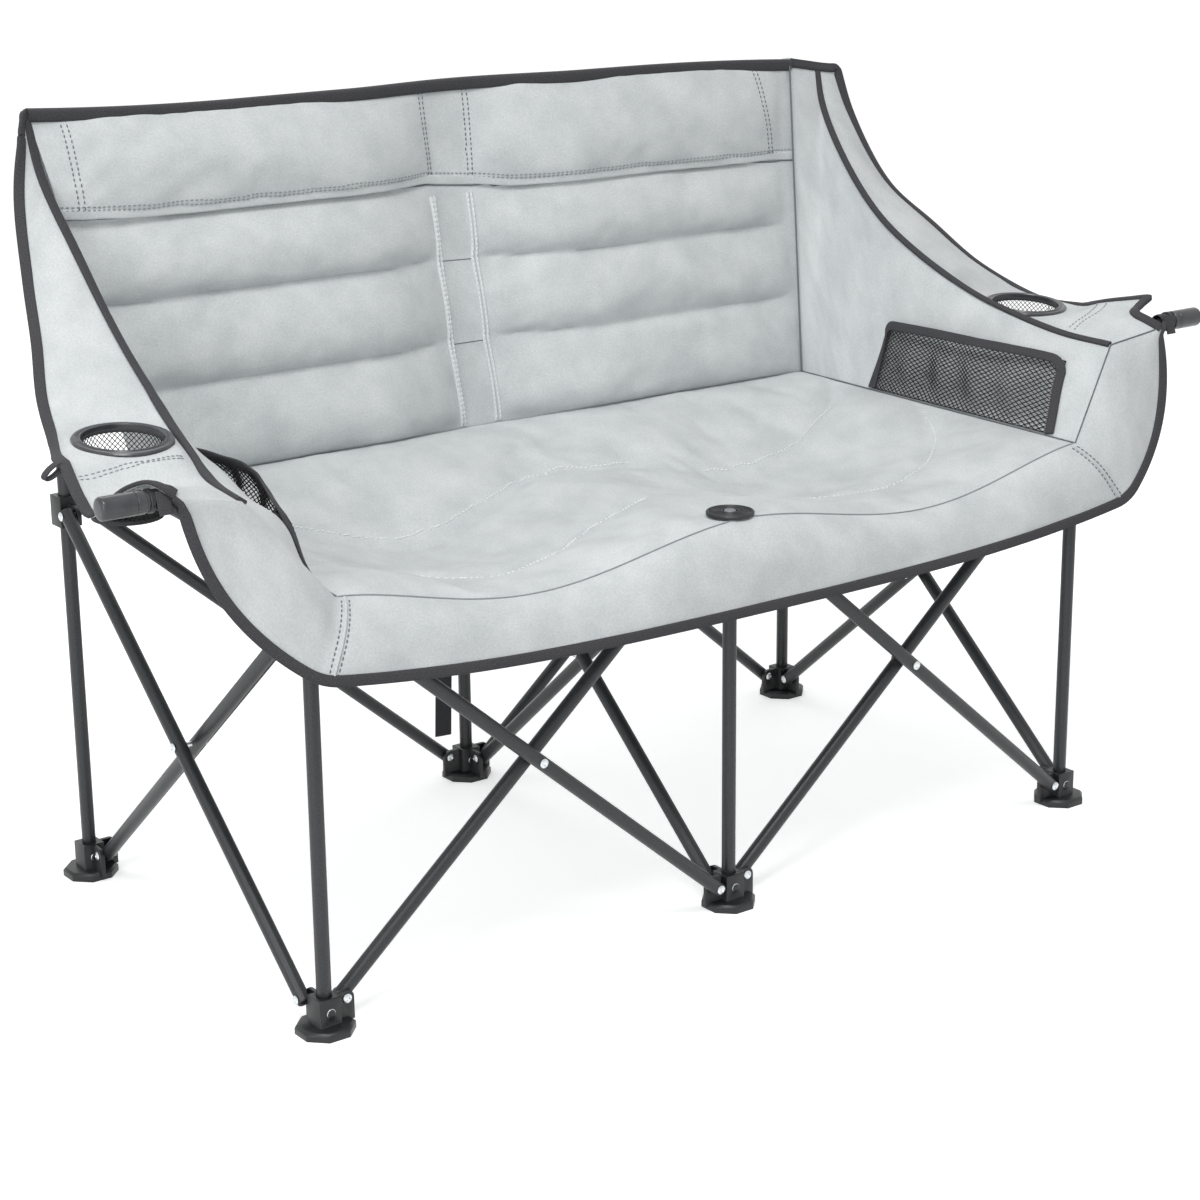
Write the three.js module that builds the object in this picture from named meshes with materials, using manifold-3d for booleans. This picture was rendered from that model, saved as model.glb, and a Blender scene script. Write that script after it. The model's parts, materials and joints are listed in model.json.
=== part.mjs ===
// Folding camping loveseat: six upright posts joined by seven scissor bays of crossed tubes, with a
// sewn seat, back, side wings and apron hung on them. Millimetres, +Z up, front towards -Y.
// Each bay is a pair of equal bars crossed at a rivet. A bar runs from the foot of one post to the
// hub of the next, so all bays shorten together when the seat is gathered up.

import * as THREE from 'three';
import { mergeVertices } from 'three/addons/utils/BufferGeometryUtils.js';
import Module from 'manifold-3d';

const wasm = await Module();
wasm.setup();

// Driving dimensions of the frame
const bay = 540;
const footPivotHeight = 30;
const hubPivotHeight = 448;
const pivotInset = 26;
const tubeDiameter = 16;
const tubeWall = 1.2;
const barEnd = 6;
const rearPostTop = 878;
const fitClearance = 0.3;
const slideClearance = 0.5;
const cutOverrun = 1;
const postSides = 12;
const barSides = 8;
const headSides = 8;
const capSides = 16;
const pinSides = 6;
const arcSegments = 2;

// Rivets
const rivetDiameter = 5.6;
const rivetHeadDiameter = 10;
const rivetHeadHeight = 1.8;

// Feet
const footWidth = 60;
const footBaseHeight = 10;
const footChamfer = 3;
const footSides = 8;
const socketWidth = 26;
const socketHeight = 40;
const socketFloor = 8;
const earThickness = 5;
const earRadius = 9;
const postRivetHeight = 24;

// Hubs that join the upper ends of the bars
const hubWidth = 26;
const hubBelowPivot = 18;
const rearHubAbovePivot = 18;
const frontHubAbovePivot = 9.5;
const hubCapThickness = 4;
const hubBottom = hubPivotHeight - hubBelowPivot;
const rearHubTop = hubPivotHeight + rearHubAbovePivot;
const frontHubTop = hubPivotHeight + frontHubAbovePivot;

// Telescoping tubes inside the short front posts
const slideTubeWall = 1;
const slideTubeFit = 0.4;
const slideTubeLength = 330;

// Arm tubes beyond the front hubs
const armTipReach = 752;
const armTipHeight = 594;
const armTipDepth = 5;
const armBendReach = 17;
const armSteps = 8;
const armSwayShare = 0.7;
const armStartBeyondHub = 20;
const armHubClearance = 1;

// End caps of the arms
const armCapDiameter = 23.5;
const armCapLength = 46;
const armCapWall = 4;
const armCapRound = 3;
const armCollarDiameter = 20;
const armCollarLength = 7;

// Post caps
const postCapHeight = 9;
const postCapStem = 14;
const postCapRound = 2.5;

// Sewn cover
const clothThickness = 4;
const seamGap = 0.5;
const seatFrontHalf = 520;
const seatRearHalf = 490;
const seatFrontLine = -21;
const seatRearLine = 448;
const seatAboveHub = 6.5;
const seatCornerRise = 7;
const seatRearRise = 23;
const seatCrestHeight = frontHubTop + seatAboveHub;
const seatFrontHeight = seatCrestHeight + seatCornerRise;
const seatRearHeight = seatCrestHeight + seatRearRise;
const seatFrontDip = 36;
const seatSag = 46;
const seatCrestSag = 26;
const seatRearTuckDrop = 10;
const seatPadding = 11;
const seatChannelDepth = 4;
const seatLineFrontShares = [0.39, 0.335, 0.24, 0.235, 0.4, 0.5];
const seatLineRearShares = [0.68, 0.64, 0.575, 0.6, 0.69, 0.78];
const seatDipPlaceShare = 1.1;
const seatDipSharpnessShare = 1.6;
const seatCrestWidthShare = 0.8;
const seatColumns = 22;
const seatRows = 12;
const backTopHalf = 515;
const backTopLine = 503;
const backAbovePost = 19;
const backTopHeight = rearPostTop + backAbovePost;
const backTopArch = 3;
const backTuckTop = 22;
const backTuckBottom = 40;
const backTuckHalf = 170;
const centreStripHalf = 27;
const backPuff = 15;
const backFillShare = 1.2;
const backEdgeThickness = 5;
const backSeamShares = [0.2512, 0.4951, 0.7146];
const backColumns = 20;
const backRows = 16;

// Fabric sleeves that slip over the rear posts
const sleeveWall = 3;
const sleeveLength = 60;
const sleeveTopBelowPost = 6;
const sleeveWebThickness = 6;

// Wings and arm tops: inner and outer edges, from the back corner to the arm tip
const wingBulge = 8;
const wallRollLeft = 30;
const wallRollRight = 8;
const wallRollStartShare = 0.45;
const wallRollRiseShare = 0.3;
const wallRollEndShare = 0.07;
const wallRollPeakShare = 0.63;
const wingTurnStartShare = 1.5;
const innerEdgeAbovePost = 14;
const innerEdgeRear = new THREE.Vector3(515, 503, rearPostTop + innerEdgeAbovePost);
const innerEdgeFront = new THREE.Vector3(616, -21, 574);
const outerEdgeAbovePost = 16;
const outerEdgeRear = new THREE.Vector3(582, 492, rearPostTop + outerEdgeAbovePost);
const outerEdgeFront = new THREE.Vector3(690, -12, 606);
const innerRunShares = [0, 0.036, 0.139, 0.256, 0.372, 0.55, 0.677, 0.817, 1];
const innerDropShares = [0, 0.189, 0.415, 0.604, 0.73, 0.865, 0.928, 0.978, 1];
const innerFlareShares = [0, 0.376, 0.337, 0.356, 0.436, 0.564, 0.673, 0.812, 1];
const outerRunShares = [0, 0.024, 0.127, 0.25, 0.377, 0.556, 0.683, 0.827, 1];
const outerDropShares = [0, 0.257, 0.57, 0.743, 0.916, 1.035, 1.03, 1.014, 1];
const outerFlareShares = [0, 0.167, 0.361, 0.583, 0.833, 1.065, 1.167, 1.139, 1];
const seatEdgeRunShares = [0, 0.06, 0.13, 0.21, 0.31, 0.45, 0.6, 0.77, 1];
const wingColumns = 14;
const wallRows = 5;
const topRows = 4;

// Apron below the seat front, with its ends rising to the arms
const apronDrop = 100;
const apronCornerDrop = 67;
const apronHemHeight = seatFrontHeight - apronDrop;
const apronCornerHeight = seatFrontHeight - apronCornerDrop;
const apronCornerHalf = 575;
const apronHemLine = -70;
const apronThickness = 3;
const apronColumns = 28;
const apronRows = 3;
const gussetColumns = 4;
const gussetTipDepth = 16;
const gussetEdgeHalf = 662;
const gussetEdgeRise = 29;
const gussetEdgeHeight = seatFrontHeight + gussetEdgeRise;
const gussetEdgeLine = -42;

// Cup holders
const cupCentreReach = 633;
const cupCentreDepth = 182;
const cupTopHeight = 607;
const cupRingOuter = 104;
const cupRingInner = 84;
const cupRingHeight = 9;
const cupRingRound = 2;
const cupNetDepth = 105;
const cupNetBottomDiameter = 70;
const cupNetWall = 1.6;
const cupSides = 20;

// Side pockets
const pocketFrontShare = 0.955;
const pocketFrontTopShare = 0.9;
const pocketRearShare = 0.44;
const pocketFootRise = 5;
const pocketTopRise = 80;
const pocketMouth = 20;
const pocketFoot = 1.3;
const pocketThickness = 2.5;
const pocketColumns = 12;
const pocketRows = 7;

// Disc on the seat front and the strap behind
const discDiameter = 54;
const discThickness = 5;
const discRound = 1.5;
const discStemDiameter = 6;
const strapWidth = 25;
const strapThickness = 1.6;
const strapBottom = 62;
const strapTop = 300;
const strapLoopHeight = 26;
const strapLean = 14;

// Places worked out from the sizes above
const tubeRadius = tubeDiameter / 2;
const barPlane = earThickness / 2 + fitClearance + tubeRadius;
const rise = hubPivotHeight - footPivotHeight;
const span = bay - 2 * pivotInset;
const barLength = Math.hypot(span, rise);
const barAngle = Math.atan2(rise, span);
const socketBore = tubeRadius + fitClearance;
const hubBore = tubeRadius + slideClearance;
const gussetShare = gussetColumns / apronColumns;
const pinHoleRadius = (rivetDiameter / 2 + fitClearance) / Math.cos(Math.PI / pinSides);
const slideTubeRadius = tubeRadius - tubeWall - slideTubeFit;

// Materials
const finish = (colour, roughness, metalness) =>
  new THREE.MeshStandardMaterial({ color: colour, roughness, metalness });
const blackSteel = finish('#232425', 0.42, 0.6);
const blackPlastic = finish('#161718', 0.35, 0);
const zinc = finish('#b9bcbe', 0.35, 0.9);
const greyCloth = finish('#cbd0d1', 0.9, 0);
const blackMesh = finish('#202224', 0.95, 0);
const webbing = finish('#2c2e30', 0.9, 0);

const model = new THREE.Group();

function add(name, geometry, material, parent = model) {
  const mesh = new THREE.Mesh(geometry, material);
  mesh.name = name;
  parent.add(mesh);
  return mesh;
}

// Booleans: a closed three.js geometry becomes a solid, and a solid becomes a geometry again
function solid(geometry) {
  const bare = (geometry.index ? geometry.toNonIndexed() : geometry).clone();
  bare.deleteAttribute('normal');
  bare.deleteAttribute('uv');
  const merged = mergeVertices(bare);
  return new wasm.Manifold(new wasm.Mesh({
    numProp: 3,
    vertProperties: new Float32Array(merged.attributes.position.array),
    triVerts: new Uint32Array(merged.index.array),
  }));
}

function toGeometry(body) {
  const mesh = body.getMesh();
  const geometry = new THREE.BufferGeometry();
  geometry.setAttribute('position', new THREE.BufferAttribute(mesh.vertProperties, 3));
  geometry.setIndex(new THREE.BufferAttribute(mesh.triVerts, 1));
  geometry.computeVertexNormals();
  return geometry;
}

const join = (parts) => parts.reduce((whole, part) => whole.add(part));
const cut = (whole, parts) => parts.reduce((rest, part) => rest.subtract(part), whole);

// Simple shapes, placed as solids
function box(width, depth, height, x, y, zLow) {
  return solid(new THREE.BoxGeometry(width, depth, height).translate(x, y, zLow + height / 2));
}

function rod(radius, zLow, zHigh, sides, x = 0, y = 0) {
  const geometry = new THREE.CylinderGeometry(radius, radius, zHigh - zLow, sides);
  return solid(geometry.rotateX(Math.PI / 2).translate(x, y, (zLow + zHigh) / 2));
}

function annulus(outer, inner, sides, start = 0) {
  const shape = new THREE.Shape();
  const hole = new THREE.Path();
  for (let i = 0; i <= sides; i += 1) {
    const turn = start + (2 * Math.PI * (i % sides)) / sides;
    const place = [Math.cos(turn), Math.sin(turn)];
    const step = i === 0 ? 'moveTo' : 'lineTo';
    shape[step](outer * place[0], outer * place[1]);
    hole[step](inner * place[0], -inner * place[1]);
  }
  shape.holes.push(hole);
  return shape;
}

function tubeGeometry(outer, inner, zLow, zHigh, sides) {
  const settings = { depth: zHigh - zLow, bevelEnabled: false };
  return new THREE.ExtrudeGeometry(annulus(outer, inner, sides), settings).translate(0, 0, zLow);
}

// Turns [radius, height] pairs, in order from the axis and back to it, or round a closed loop
function lathe(points, sides) {
  const profile = points.map(([radius, height]) => new THREE.Vector2(radius, height));
  return new THREE.LatheGeometry(profile, sides).rotateX(Math.PI / 2);
}

// Closed shell between two grids of points, with its faces turned out
function shell(front, back, columns, rows) {
  const points = [];
  const faces = [];
  const across = columns + 1;
  const layer = across * (rows + 1);
  for (const side of [front, back]) {
    for (let j = 0; j <= rows; j += 1) {
      for (let i = 0; i <= columns; i += 1) {
        points.push(...side(i / columns, j / rows).toArray());
      }
    }
  }
  const quad = (a, b, c, d) => faces.push(a, b, c, a, c, d);
  for (let j = 0; j < rows; j += 1) {
    for (let i = 0; i < columns; i += 1) {
      const a = j * across + i;
      quad(a, a + 1, a + 1 + across, a + across);
      quad(layer + a, layer + a + across, layer + a + across + 1, layer + a + 1);
    }
  }
  for (let i = 0; i < columns; i += 1) {
    const top = rows * across + i;
    quad(i, layer + i, layer + i + 1, i + 1);
    quad(top, top + 1, layer + top + 1, layer + top);
  }
  for (let j = 0; j < rows; j += 1) {
    const left = j * across;
    const right = left + columns;
    quad(left, left + across, layer + left + across, layer + left);
    quad(right, layer + right, layer + right + across, right + across);
  }
  const geometry = new THREE.BufferGeometry();
  geometry.setAttribute('position', new THREE.BufferAttribute(new Float32Array(points), 3));
  geometry.setIndex(faces);
  return turnedOut(geometry);
}

function turnedOut(geometry) {
  const place = geometry.attributes.position;
  const index = geometry.index.array;
  const [a, b, c] = [new THREE.Vector3(), new THREE.Vector3(), new THREE.Vector3()];
  let volume = 0;
  for (let i = 0; i < index.length; i += 3) {
    a.fromBufferAttribute(place, index[i]);
    b.fromBufferAttribute(place, index[i + 1]);
    c.fromBufferAttribute(place, index[i + 2]);
    volume += a.dot(b.cross(c));
  }
  if (volume < 0) {
    for (let i = 0; i < index.length; i += 3) {
      [index[i + 1], index[i + 2]] = [index[i + 2], index[i + 1]];
    }
  }
  geometry.computeVertexNormals();
  return geometry;
}

// Frame: posts, feet and hubs. Columns are left, middle and right; rows are front and rear.
const columns = { left: -bay, middle: 0, right: bay };
const rows = { front: 0, rear: bay };

// Directions from a post towards its neighbours, as quarter turns from +X
const quarterTurns = { right: 0, back: 1, left: 2, front: 3 };

function neighbours(row, column) {
  const sides = [];
  if (column !== 'right') sides.push('right');
  if (column !== 'left') sides.push('left');
  sides.push(row === 'front' ? 'back' : 'front');
  return sides;
}

function earOutline(pivotHeight, below) {
  const shape = new THREE.Shape();
  shape.moveTo(0, below);
  shape.lineTo(pivotInset + earRadius, below);
  shape.lineTo(pivotInset + earRadius, pivotHeight);
  shape.absarc(pivotInset, pivotHeight, earRadius, 0, Math.PI / 2, false);
  shape.lineTo(0, pivotHeight + earRadius);
  shape.closePath();
  return shape;
}

function ear(pivotHeight, below, side) {
  const settings = { depth: earThickness, bevelEnabled: false, curveSegments: arcSegments };
  const plate = new THREE.ExtrudeGeometry(earOutline(pivotHeight, below), settings);
  plate.translate(0, 0, -earThickness / 2).rotateX(Math.PI / 2);
  return solid(plate.rotateZ((quarterTurns[side] * Math.PI) / 2));
}

function pinHole(pivotHeight, side) {
  const hole = across(pinHoleRadius, earThickness + 2 * cutOverrun, pivotInset);
  hole.translate(0, 0, pivotHeight).rotateZ((quarterTurns[side] * Math.PI) / 2);
  return solid(hole);
}

function foot(row, column) {
  const sides = neighbours(row, column);
  const flatRadius = footWidth / 2 / Math.cos(Math.PI / footSides);
  const topRadius = flatRadius - footChamfer;
  const base = lathe([
    [0, 0],
    [flatRadius, 0],
    [flatRadius, footBaseHeight - footChamfer],
    [topRadius, footBaseHeight],
    [0, footBaseHeight],
  ], footSides).rotateZ(Math.PI / footSides);
  const socket = box(socketWidth, socketWidth, socketHeight - footBaseHeight / 2, 0, 0,
    footBaseHeight / 2);
  const ears = sides.map((side) => ear(footPivotHeight, footBaseHeight / 2, side));
  const headRadius = rivetHeadDiameter / 2;
  const head = new THREE.CylinderGeometry(headRadius, headRadius, socketWidth / 2 + rivetHeadHeight,
    headSides);
  head.translate(0, -(socketWidth / 2 + rivetHeadHeight) / 2, postRivetHeight);
  const body = join([solid(base), socket, ...ears, solid(head)]);
  const holes = sides.map((side) => pinHole(footPivotHeight, side));
  const bore = rod(socketBore, socketFloor, socketHeight + cutOverrun, postSides);
  return toGeometry(cut(body, [bore, ...holes]));
}

// Room beside a front corner hub for the arm bar that runs on past it
function armPassage(column) {
  const reach = 2 * hubWidth;
  const low = tubeRadius + armHubClearance;
  const inner = barPlane - low;
  const passage = new THREE.BoxGeometry(reach, reach, reach);
  passage.translate(reach / 2, inner + reach / 2, reach / 2 - low).rotateY(-barAngle);
  passage.translate(-pivotInset, 0, hubPivotHeight);
  return solid(column === 'left' ? passage.rotateZ(Math.PI) : passage);
}

function hub(row, column) {
  const sides = neighbours(row, column);
  const top = row === 'rear' ? rearHubTop : frontHubTop;
  const block = box(hubWidth, hubWidth, top - hubBottom, 0, 0, hubBottom);
  const ears = sides.map((side) => ear(hubPivotHeight, hubPivotHeight - earRadius, side));
  const body = join([block, ...ears]);
  const holes = sides.map((side) => pinHole(hubPivotHeight, side));
  const bore = row === 'rear'
    ? rod(hubBore, hubBottom - cutOverrun, top + cutOverrun, postSides)
    : rod(slideTubeRadius + fitClearance, hubBottom - cutOverrun, top - hubCapThickness, postSides);
  const passages = row === 'front' && column !== 'middle' ? [armPassage(column)] : [];
  return toGeometry(cut(body, [bore, ...holes, ...passages]));
}

for (const [row, y] of Object.entries(rows)) {
  for (const [column, x] of Object.entries(columns)) {
    const post = new THREE.Group();
    post.position.set(x, y, 0);
    model.add(post);
    const top = row === 'rear' ? rearPostTop : hubBottom - fitClearance;
    const bottom = socketFloor + fitClearance;
    const wall = tubeGeometry(tubeRadius, tubeRadius - tubeWall, bottom, top, postSides);
    add(`${row}_post_${column}`, wall, blackSteel, post);
    add(`${row}_foot_${column}`, foot(row, column), blackPlastic, post);
    add(`${row}_hub_${column}`, hub(row, column), blackPlastic, post);
    if (row === 'rear') {
      add(`rear_post_cap_${column}`, postCap(), blackPlastic, post);
    } else {
      const high = frontHubTop - hubCapThickness - fitClearance;
      const low = hubBottom - slideTubeLength;
      const inner = tubeGeometry(slideTubeRadius, slideTubeRadius - slideTubeWall, low, high, postSides);
      add(`front_slide_tube_${column}`, inner, blackSteel, post);
    }
  }
}

function postCap() {
  const rim = tubeRadius;
  const stem = tubeRadius - tubeWall - fitClearance;
  const seat = rearPostTop + fitClearance;
  return lathe([
    [0, seat - postCapStem],
    [stem, seat - postCapStem],
    [stem, seat],
    [rim, seat],
    [rim, seat + postCapHeight - postCapRound],
    [rim - postCapRound, seat + postCapHeight],
    [0, seat + postCapHeight],
  ], postSides);
}

// Scissor bays. Each runs from its first post to its second, with one bar from the first foot to the
// second hub and one from the second foot to the first hub. side tells which side of the bay's plane
// the first bar lies on, seen along the bay.
const bays = [
  { name: 'rear_left', first: ['rear', 'middle'], second: ['rear', 'left'], side: -1 },
  { name: 'rear_right', first: ['rear', 'middle'], second: ['rear', 'right'], side: -1 },
  { name: 'middle', first: ['rear', 'middle'], second: ['front', 'middle'], side: 1 },
  { name: 'front_left', first: ['front', 'middle'], second: ['front', 'left'], side: 1, arm: true },
  { name: 'front_right', first: ['front', 'middle'], second: ['front', 'right'], side: 1, arm: true },
  { name: 'left_side', first: ['rear', 'left'], second: ['front', 'left'], side: 1 },
  { name: 'right_side', first: ['rear', 'right'], second: ['front', 'right'], side: -1 },
];

const postPlace = ([row, column]) => new THREE.Vector3(columns[column], rows[row], 0);

function across(radius, length, along) {
  return new THREE.CylinderGeometry(radius, radius, length, pinSides).translate(along, 0, 0);
}

// A rivet along Y, with a head at each end; low and high are the inner faces of the heads
function rivet(low, high, along) {
  const stem = rivetDiameter / 2;
  const head = rivetHeadDiameter / 2;
  const shape = lathe([
    [0, low - rivetHeadHeight],
    [head, low - rivetHeadHeight],
    [head, low],
    [stem, low],
    [stem, high],
    [head, high],
    [head, high + rivetHeadHeight],
    [0, high + rivetHeadHeight],
  ], pinSides);
  return solid(shape.rotateX(-Math.PI / 2).translate(along, 0, 0));
}

// A pin through a bar end and its ear; the ear lies towards earSide
function endPin(along, earSide) {
  const far = tubeRadius + 2 * fitClearance + earThickness;
  return earSide > 0 ? rivet(-tubeRadius, far, along) : rivet(-far, tubeRadius, along);
}

function pinnedBar(tube, earSide) {
  const centreHole = across(pinHoleRadius, tubeDiameter + 2 * cutOverrun, barLength / 2);
  const pins = [0, barLength].map((along) => endPin(along, earSide));
  return toGeometry(join([cut(tube, [solid(centreHole)]), ...pins]));
}

// A straight bar along +X from its lower pivot, turned so that its pins meet flats of the tube
function crossBar(earSide) {
  const raw = tubeGeometry(tubeRadius, tubeRadius - tubeWall, -barEnd, barLength + barEnd, barSides);
  return pinnedBar(solid(raw.rotateZ(Math.PI / barSides).rotateY(Math.PI / 2)), earSide);
}

// The arm bar runs straight on past its hub, sways to the depth of the arm and bends level under the
// cover. Its stops are in the bar's own axes; the first and last steps are the straight runs.
class ArmPath extends THREE.Curve {
  constructor(stops, steps) {
    super();
    this.stops = stops;
    this.firstShare = 1 / steps;
    this.lastShare = 1 - 1 / steps;
    this.bend = new THREE.CubicBezierCurve3(stops[1], stops[2], stops[3], stops[4]);
  }

  getPoint(t, target = new THREE.Vector3()) {
    if (t <= this.firstShare) {
      return target.lerpVectors(this.stops[0], this.stops[1], t / this.firstShare);
    }
    if (t >= this.lastShare) {
      const share = (t - this.lastShare) / (1 - this.lastShare);
      return target.lerpVectors(this.stops[4], this.stops[5], share);
    }
    return this.bend.getPoint((t - this.firstShare) / (this.lastShare - this.firstShare), target);
  }

  getPointAt(t, target) {
    return this.getPoint(t, target);
  }

  getTangentAt(t, target) {
    return this.getTangent(t, target);
  }
}

function armStops(side, way) {
  const level = new THREE.Vector2(Math.cos(barAngle), -Math.sin(barAngle));
  const upright = new THREE.Vector2(Math.sin(barAngle), Math.cos(barAngle));
  const tip = level.clone().multiplyScalar(armTipReach - pivotInset)
    .addScaledVector(upright, armTipHeight - footPivotHeight);
  const corner = tip.clone().addScaledVector(level, -tip.y / level.y);
  const wrist = corner.clone().addScaledVector(level, armBendReach);
  const sway = way * armTipDepth - side * barPlane;
  const straight = barLength + armStartBeyondHub;
  return [
    new THREE.Vector3(-barEnd, 0, 0),
    new THREE.Vector3(straight, 0, 0),
    new THREE.Vector3(THREE.MathUtils.lerp(straight, corner.x, armSwayShare), 0, 0),
    new THREE.Vector3(corner.x, sway, 0),
    new THREE.Vector3(wrist.x, sway, wrist.y),
    new THREE.Vector3(tip.x, sway, tip.y),
  ];
}

function armBar(side, way) {
  const settings = {
    steps: armSteps,
    bevelEnabled: false,
    extrudePath: new ArmPath(armStops(side, way), armSteps),
  };
  const section = annulus(tubeRadius, tubeRadius - tubeWall, barSides, Math.PI / barSides);
  return pinnedBar(solid(new THREE.ExtrudeGeometry(section, settings)), -side);
}

function centreRivet() {
  const reach = barPlane + tubeRadius + fitClearance;
  return toGeometry(rivet(-reach, reach, 0));
}

function armCap() {
  const outer = armCapDiameter / 2;
  const bore = tubeRadius + fitClearance;
  const floor = armTipReach + fitClearance;
  const end = floor + armCapWall;
  const open = end - armCapLength;
  const collar = armCollarDiameter / 2;
  const shape = lathe([
    [bore, open - armCollarLength],
    [collar, open - armCollarLength],
    [collar, open],
    [outer, open],
    [outer, end - armCapRound],
    [outer - armCapRound, end],
    [0, end],
    [0, floor],
    [bore, floor],
    [bore, open - armCollarLength],
  ], capSides);
  return shape.rotateY(Math.PI / 2);
}

function addBay({ name, first, second, side, arm }) {
  const start = postPlace(first);
  const end = postPlace(second);
  const heading = Math.atan2(end.y - start.y, end.x - start.x);
  const bayGroup = new THREE.Group();
  bayGroup.position.copy(start);
  bayGroup.rotation.z = heading;
  model.add(bayGroup);
  const makeBar = (barName, geometry, offset, turn) => {
    const holder = new THREE.Group();
    holder.position.set(offset, 0, 0);
    holder.rotation.z = turn;
    const bar = add(barName, geometry, blackSteel, holder);
    bar.position.set(pivotInset, side * barPlane, footPivotHeight);
    bar.rotation.y = -barAngle;
    bayGroup.add(holder);
  };
  const way = Math.cos(heading);
  const rising = arm ? armBar(side, way) : crossBar(-side);
  makeBar(arm ? `arm_bar_${second[1]}` : `${name}_bar_rising`, rising, 0, 0);
  makeBar(`${name}_bar_falling`, crossBar(-side), bay, Math.PI);
  const rivet = add(`${name}_centre_rivet`, centreRivet(), zinc, bayGroup);
  rivet.position.set(bay / 2, 0, (footPivotHeight + hubPivotHeight) / 2);
  if (arm) {
    const cap = add(`arm_cap_${second[1]}`, armCap(), blackPlastic, bayGroup);
    cap.position.set(0, way * armTipDepth, armTipHeight);
  }
}

bays.forEach(addBay);

// The cover. Places are drawn for the right side and mirrored for the left.
const lerp = THREE.MathUtils.lerp;
const tuckWindow = (share) => Math.max(0, 1 - share * share) ** 2;
const ease = (share) => share * share * (3 - 2 * share);

function backTuck(x, heightShare) {
  return lerp(backTuckBottom, backTuckTop, heightShare) * tuckWindow(x / backTuckHalf);
}

// The seam between the seat and the back, from left to right
function rearSeam(share) {
  const x = lerp(-seatRearHalf, seatRearHalf, share);
  const tuck = backTuck(x, 0);
  return new THREE.Vector3(x, seatRearLine + tuck,
    seatRearHeight - seatRearTuckDrop * (tuck / backTuckBottom));
}

// The crease between the seat and the apron, from left to right
function frontCrease(share) {
  const away = Math.abs(2 * share - 1);
  const lift = away ** 2 * (seatFrontHeight - seatCrestHeight);
  const bow = Math.sin(Math.PI * away ** seatDipPlaceShare);
  const dip = seatFrontDip * bow ** seatDipSharpnessShare;
  return new THREE.Vector3(lerp(-seatFrontHalf, seatFrontHalf, share), seatFrontLine,
    seatCrestHeight + lift - dip);
}

function tableAt(shares, along) {
  const place = along * (shares.length - 1);
  const k = Math.min(Math.floor(place), shares.length - 2);
  return lerp(shares[k], shares[k + 1], place - k);
}

// Two long lines of stitching cross the seat and part it into three padded bands
function seatTop(share, depthShare) {
  const front = frontCrease(share);
  const rear = rearSeam(share);
  const away = Math.min(1, Math.abs(2 * share - 1));
  const lines = [0, tableAt(seatLineFrontShares, away), tableAt(seatLineRearShares, away), 1];
  const bands = lines.length - 1;
  const band = Math.min(Math.floor(depthShare * bands), bands - 1);
  const depth = lerp(lines[band], lines[band + 1], depthShare * bands - band);
  const place = Math.sin(Math.PI * away) ** seatCrestWidthShare;
  const bow = Math.sin(Math.PI * depth) ** 2;
  const channel = Math.abs(Math.sin(Math.PI * bands * depthShare)) * place;
  const point = front.lerp(rear, depth);
  const crest = (1 - place) * (1 - away) * seatCrestSag;
  point.z -= bow * (place * seatSag + crest) - channel * seatChannelDepth;
  return point;
}

const pulledIn = (point, dx, dy) => point.add(new THREE.Vector3(dx, dy, 0));

function seat() {
  const edge = (share, depthShare) => {
    const inX = (0.5 - share) * seamGap;
    const inY = (0.5 - depthShare) * seamGap;
    return pulledIn(seatTop(share, depthShare), inX, inY);
  };
  const under = (share, depthShare) => {
    const point = edge(share, depthShare);
    const place = Math.sin(Math.PI * Math.abs(2 * share - 1));
    point.z -= clothThickness + seatPadding * place ** 2 * Math.sin(Math.PI * depthShare);
    return point;
  };
  const slab = solid(shell(edge, under, seatColumns, seatRows));
  const stemHole = rod(discStemDiameter / 2 + seamGap, hubBottom, seatFrontHeight, pinSides);
  return toGeometry(slab.subtract(stemHole));
}

// Front face of the back, from left to right and from the seat seam to the top
function backFace(share, heightShare) {
  const seam = rearSeam(share);
  const topX = lerp(-backTopHalf, backTopHalf, share);
  const arch = backTopArch * (1 - (2 * share - 1) ** 2);
  const tuck = backTuck(topX, 1);
  const top = new THREE.Vector3(topX, backTopLine + tuck, backTopHeight + arch);
  const point = seam.lerp(top, heightShare);
  const puff = backPuff * channelShape(point.z) * placeShape(share);
  point.y -= puff;
  return point;
}

function channelShape(z) {
  const seams = backSeamShares.map((share) => lerp(seatRearHeight, backTopHeight, share));
  const levels = [seatRearHeight, ...seams, backTopHeight];
  for (let k = 1; k < levels.length; k += 1) {
    if (z <= levels[k]) {
      const share = (z - levels[k - 1]) / (levels[k] - levels[k - 1]);
      return Math.sqrt(Math.max(0, Math.sin(Math.PI * share)));
    }
  }
  return 0;
}

function placeShape(share) {
  const away = Math.abs(2 * share - 1);
  const strip = centreStripHalf / backTopHalf;
  if (away <= strip) return 0;
  const across01 = (away - strip) / (1 - strip);
  return Math.max(0, 1 - Math.abs(2 * across01 - 1) ** 3);
}

function backPanel() {
  const face = (share, heightShare) => {
    const point = backFace(share, heightShare);
    point.x += (0.5 - share) * seamGap;
    point.y += (1 - heightShare) * seamGap / 2;
    return point;
  };
  const behind = (share, heightShare) => {
    const point = face(share, heightShare);
    const puff = backPuff * channelShape(point.z) * placeShape(share);
    point.y += backEdgeThickness + puff * backFillShare;
    return point;
  };
  const panel = solid(shell(face, behind, backColumns, backRows));
  const sleeves = Object.values(columns).map((x) => postSleeve(x));
  const bores = Object.values(columns).map((x) => rod(socketBore, rearPostTop - 2 * sleeveLength,
    rearPostTop + postCapHeight + cutOverrun, postSides, x, bay));
  return toGeometry(cut(join([panel, ...sleeves]), bores));
}

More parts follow.
